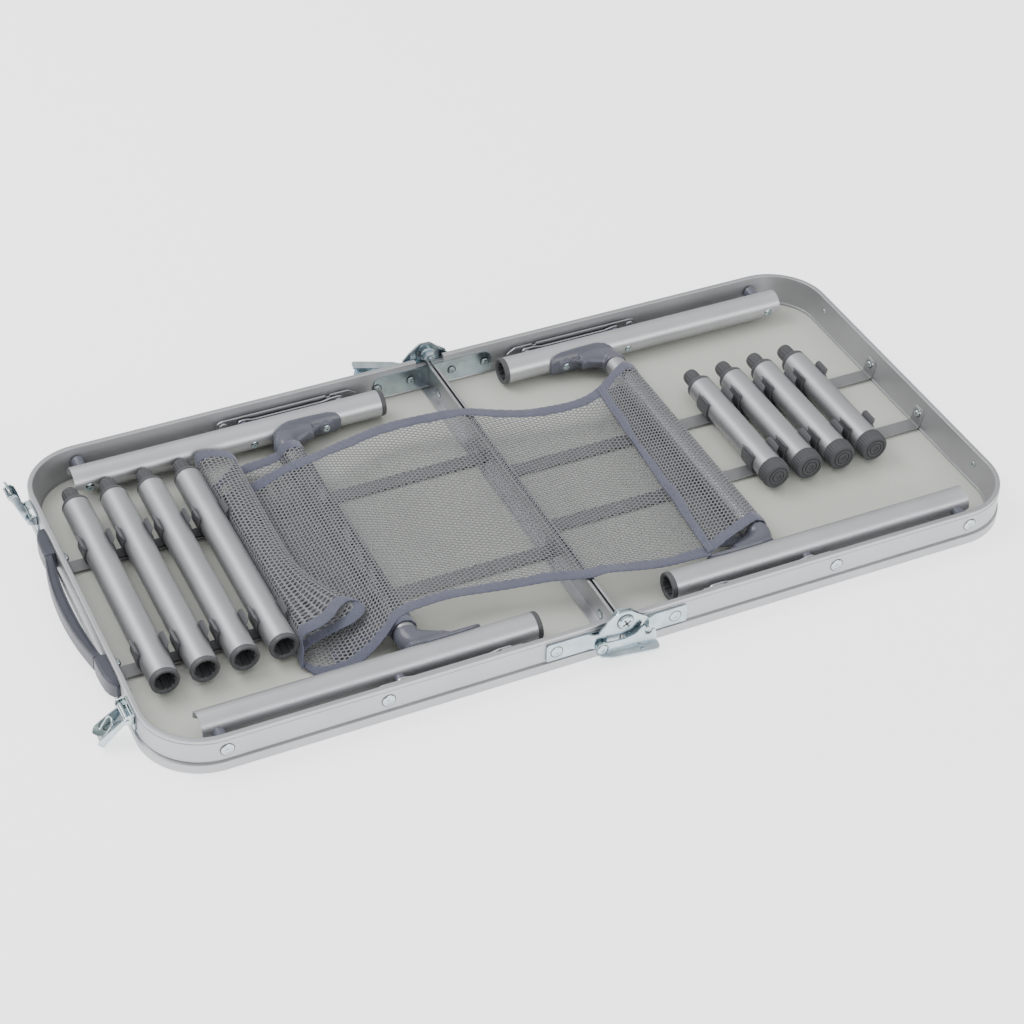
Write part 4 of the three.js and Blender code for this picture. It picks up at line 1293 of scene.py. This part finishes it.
# back point, front point and sag, from the right seam to the loose end on the left
NET = [
    ((126, 94, 31.0), (109, -154, 30.6), 0, (0, 0, 0)),
    ((110, 90, 29.0), (92, -151, 28.4), -1.5, (0, 0, 0)),
    ((88, 90, 27.2), (70, -148, 27.0), -3, (0, 0, 0)),
    ((56, 94, 27.6), (40, -142, 27.6), -3, (0, 0, 0)),
    ((27, 101, 31.0), (18, -140, 31.0), -1, (0, 0, 0)),
    ((0, 111, 33.0), (0, -141, 32.9), 0, (0, 0, 0)),
    ((-27, 119, 31.6), (-26, -132, 31.0), -1, (0, 0, 0)),
    ((-56, 124, 29.0), (-56, -124, 28.6), -3, (0, 0, 0)),
    ((-88, 124, 28.0), (-90, -117, 27.4), -4, (0, 0, 0)),
    ((-118, 116, 29.8), (-118, -114, 28.6), -2.5, (0, 0, 0)),
    ((-143, 107, 32.2), (-146, -117, 31.2), 0, (0, 0, 0)),
    ((-165, 102, 33.6), (-167, -124, 33.0), 0, (0, 0, 0)),
    ((-184, 100, 31.0), (-184, -135, 28.0), 0, (0, 0, 0)),
    ((-200, 99, 26.0), (-200, -141, 19.5), -2, (0, 0, 0)),
    ((-216, 100, 20.0), (-220, -144, 12.5), -2, (0, 0, 0)),
    ((-232, 104, 13.6), (-238, -139, 8.8), 0, (-2, 0, 0)),
    ((-241, 108, 11.8), (-245, -131, 8.2), 0, (-3, 0, 0)),
    ((-246.5, 112, 14.5), (-247.5, -122, 10.8), 0, (-4, 4, 0)),
    ((-243, 114, 18.0), (-246, -116, 15.0), 0, (2, 6, 0)),
    ((-234, 117, 22.0), (-237, -116, 20.6), 0, (14, 9, 0)),
    ((-224, 121, 26.5), (-228, -116, 27.0), 0, (26, 8, 0)),
    ((-218, 127, 30.5), (-224, -112, 31.2), 0, (34, 9, 0)),
    ((-219, 134, 33.2), (-225, -106, 33.5), 0, (35, 12, 0)),
    ((-226, 140, 34.0), (-231, -102, 34.2), 0, (29, 12, 0)),
    ((-236, 145, 34.0), (-240, -108, 33.6), 0, (18, 3, 0)),
    ((-243, 148, 32.2), (-245, -110, 30.8), 0, (6, 2, 0)),
    ((-247.5, 149, 28.0), (-246, -110, 26.0), 0, (0, 3, 0)),
    ((-248, 148, 21.0), (-247.5, -115, 18.0), 0, (-1, 0, 0)),
    ((-248, 147, 13.0), (-249.5, -121, 10.0), 0, (-4, -5, -1)),
]
net = Sheet([row[:2] for row in NET], sag=[row[2] for row in NET], flare=[row[3] for row in NET],
            wrinkle=0.7, seed=0.7)
u_right = net.at_x(25.0)
u_left = net.at_x(-25.0)
u_end = net.length

SLEEVE = [
    ((124, 93, 30.6), (107, -153, 30.4)),
    ((133, 99, 31.4), (117, -149, 31.2)),
    ((147, 108, 32.8), (136, -141, 32.6)),
]
for a in (100, 78, 55, 30, 5, -20, -45, -70, -92):
    r = 12.4
    x, z = 165 + r * math.cos(math.radians(a)), LEG_Z + r * math.sin(math.radians(a))
    SLEEVE.append(((x, 118, z), (x, -131, z)))
SLEEVE += [
    ((150, 113, 12.0), (147, -132, 12.0)),
    ((138, 105, 19.0), (130, -136, 19.0)),
    ((127, 96, 27.0), (113, -140, 27.5)),
]
sleeve = Sheet(SLEEVE, wrinkle=0.0)

LOOP = []
for a in (174, 146, 118, 92, 66, 40, 15, -10, -40, -70, -100, -130, -160, -185):
    r = 11.3
    x, z = -165 + r * math.cos(math.radians(a)), LEG_Z + r * math.sin(math.radians(a))
    LOOP.append(((x, 132, z), (x, -128, z)))
LOOP += [((-190, 131, 20.0), (-190, -126, 17.0)), ((-208, 133, 16.5), (-208, -126, 13.0)),
         ((-224, 130, 11.5), (-226, -127, 10.0))]
loop = Sheet(LOOP, wrinkle=0.0)

left_knit = lattice(net, u_left, u_end - 2, shrunk_from=net.at_x(-125))
left_net = net_object("net_left", [left_knit], M["net"])
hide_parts("net_panel_left", "net_fold_left")
left_tape = net_object("net_tape_left", [
    edge_tape(net, u_left, u_end, True),
    edge_tape(net, u_left, u_end, False),
], M["tape"])
for obj in (left_net, left_tape):
    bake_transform(obj)

centre_net = net_object("net_centre", [lattice(net, u_right, u_left)], M["net"])
centre_tape = net_object("net_tape_centre", [
    edge_tape(net, u_right, u_left, True), edge_tape(net, u_right, u_left, False),
], M["tape"])
for obj in (centre_net, centre_tape):
    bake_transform(obj)

right_net = net_object("net_right", [lattice(net, 0.0, u_right)], M["net"])
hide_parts("net_panel_right")
right_tape = net_object("net_tape_right", [
    edge_tape(net, 0.0, u_right, True), edge_tape(net, 0.0, u_right, False),
], M["tape"])
for obj in (right_net, right_tape):
    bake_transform(obj)

sleeve_net = net_object("net_sleeve", [lattice(sleeve, 0.0, sleeve.length, 0.75)], M["net"])
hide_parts("net_sleeve_right")
sleeve_tape = net_object("net_tape_sleeve", [
    edge_tape(sleeve, 0.0, sleeve.length, True, 9.0), edge_tape(sleeve, 0.0, sleeve.length, False, 9.0),
    cross_tape(sleeve, 4.0, 10.5, 1.7, 1.5, 0.4, lift=-1.2),
    cross_tape(sleeve, 0.2, 2.6, 2.2, 1.5, 0.4, lift=-1.7),
], M["tape"])
for obj in (sleeve_net, sleeve_tape):
    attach(obj, "legs_right")

loop_net = net_object("net_loop", [lattice(loop, 0.0, loop.length, 0.72)], M["net"])
loop_tape = net_object("net_tape_loop", [
    edge_tape(loop, 0.0, loop.length, True, 9.0), edge_tape(loop, 0.0, loop.length, False, 9.0),
], M["tape"])
for obj in (loop_net, loop_tape):
    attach(obj, "legs_left")


# ---------------------------------------------------------------- stage, light and camera
def stage():
    bpy.ops.mesh.primitive_plane_add(size=1, location=(0, 0, -0.0005))
    floor = bpy.context.object
    floor.name = "floor"
    floor.scale = (44, 44, 1)
    n = Nodes("floor_paper")
    n.set(Metallic=0.0, Roughness=0.9, Emission_Color=(1, 1, 1, 1), Emission_Strength=1.5)
    n.color(n.ramp(n.noise(2.0), ((0.0, (0.90, 0.90, 0.90)), (1.0, (0.93, 0.93, 0.93)))))
    floor.data.materials.append(n.mat)

    world = bpy.data.worlds.new("studio")
    bpy.context.scene.world = world
    world.use_nodes = True
    tree = world.node_tree
    background = tree.nodes["Background"]
    direction = tree.nodes.new("ShaderNodeTexCoord").outputs["Generated"]
    split = tree.nodes.new("ShaderNodeSeparateXYZ")
    ramp = tree.nodes.new("ShaderNodeValToRGB")
    stops = ((0.0, 1.0), (0.2, 0.9), (0.35, 0.6), (0.6, 1.05), (1.0, 1.3))
    while len(ramp.color_ramp.elements) < len(stops):
        ramp.color_ramp.elements.new(0.5)
    for element, (at, level) in zip(ramp.color_ramp.elements, stops):
        element.position = at
        element.color = (level, level, level, 1)
    tree.links.new(direction, split.inputs["Vector"])
    tree.links.new(split.outputs["Z"], ramp.inputs["Fac"])
    tree.links.new(ramp.outputs["Color"], background.inputs["Color"])
    background.inputs["Strength"].default_value = 1.0


def soft_light(name, location, target, size, power):
    data = bpy.data.lights.new(name, "AREA")
    data.shape = "RECTANGLE"
    data.size, data.size_y = size
    data.energy = power
    lamp = bpy.data.objects.new(name, data)
    bpy.context.scene.collection.objects.link(lamp)
    lamp.location = location
    lamp.rotation_euler = (Vector(target) - Vector(location)).to_track_quat("-Z", "Y").to_euler()


def camera():
    azimuth, elevation, roll = (math.radians(v) for v in (-26.51, 39.47, 2.04))
    back = Vector((math.sin(azimuth) * math.cos(elevation), -math.cos(azimuth) * math.cos(elevation),
                   math.sin(elevation)))
    right = Vector((math.cos(azimuth), math.sin(azimuth), 0))
    up = back.cross(right)
    right, up = (right * math.cos(roll) + up * math.sin(roll), up * math.cos(roll) - right * math.sin(roll))
    data = bpy.data.cameras.new("camera")
    data.sensor_width = 36
    data.lens = 36 * 2380 / 1024
    data.shift_x = -5.22 / 1024
    data.shift_y = -3.43 / 1024
    data.clip_end = 50
    cam = bpy.data.objects.new("camera", data)
    bpy.context.scene.collection.objects.link(cam)
    turn = Matrix((right, up, back)).transposed().to_4x4()
    cam.matrix_world = Matrix.Translation(place(0, 0, 0) + back * 2.1215) @ turn
    bpy.context.scene.camera = cam


stage()
soft_light("key", (-1.3, 1.0, 2.0), (0, 0, 0), (1.8, 1.2), 42)
soft_light("fill", (0.9, -2.6, 1.0), (0, 0, 0), (2.4, 1.0), 40)
camera()
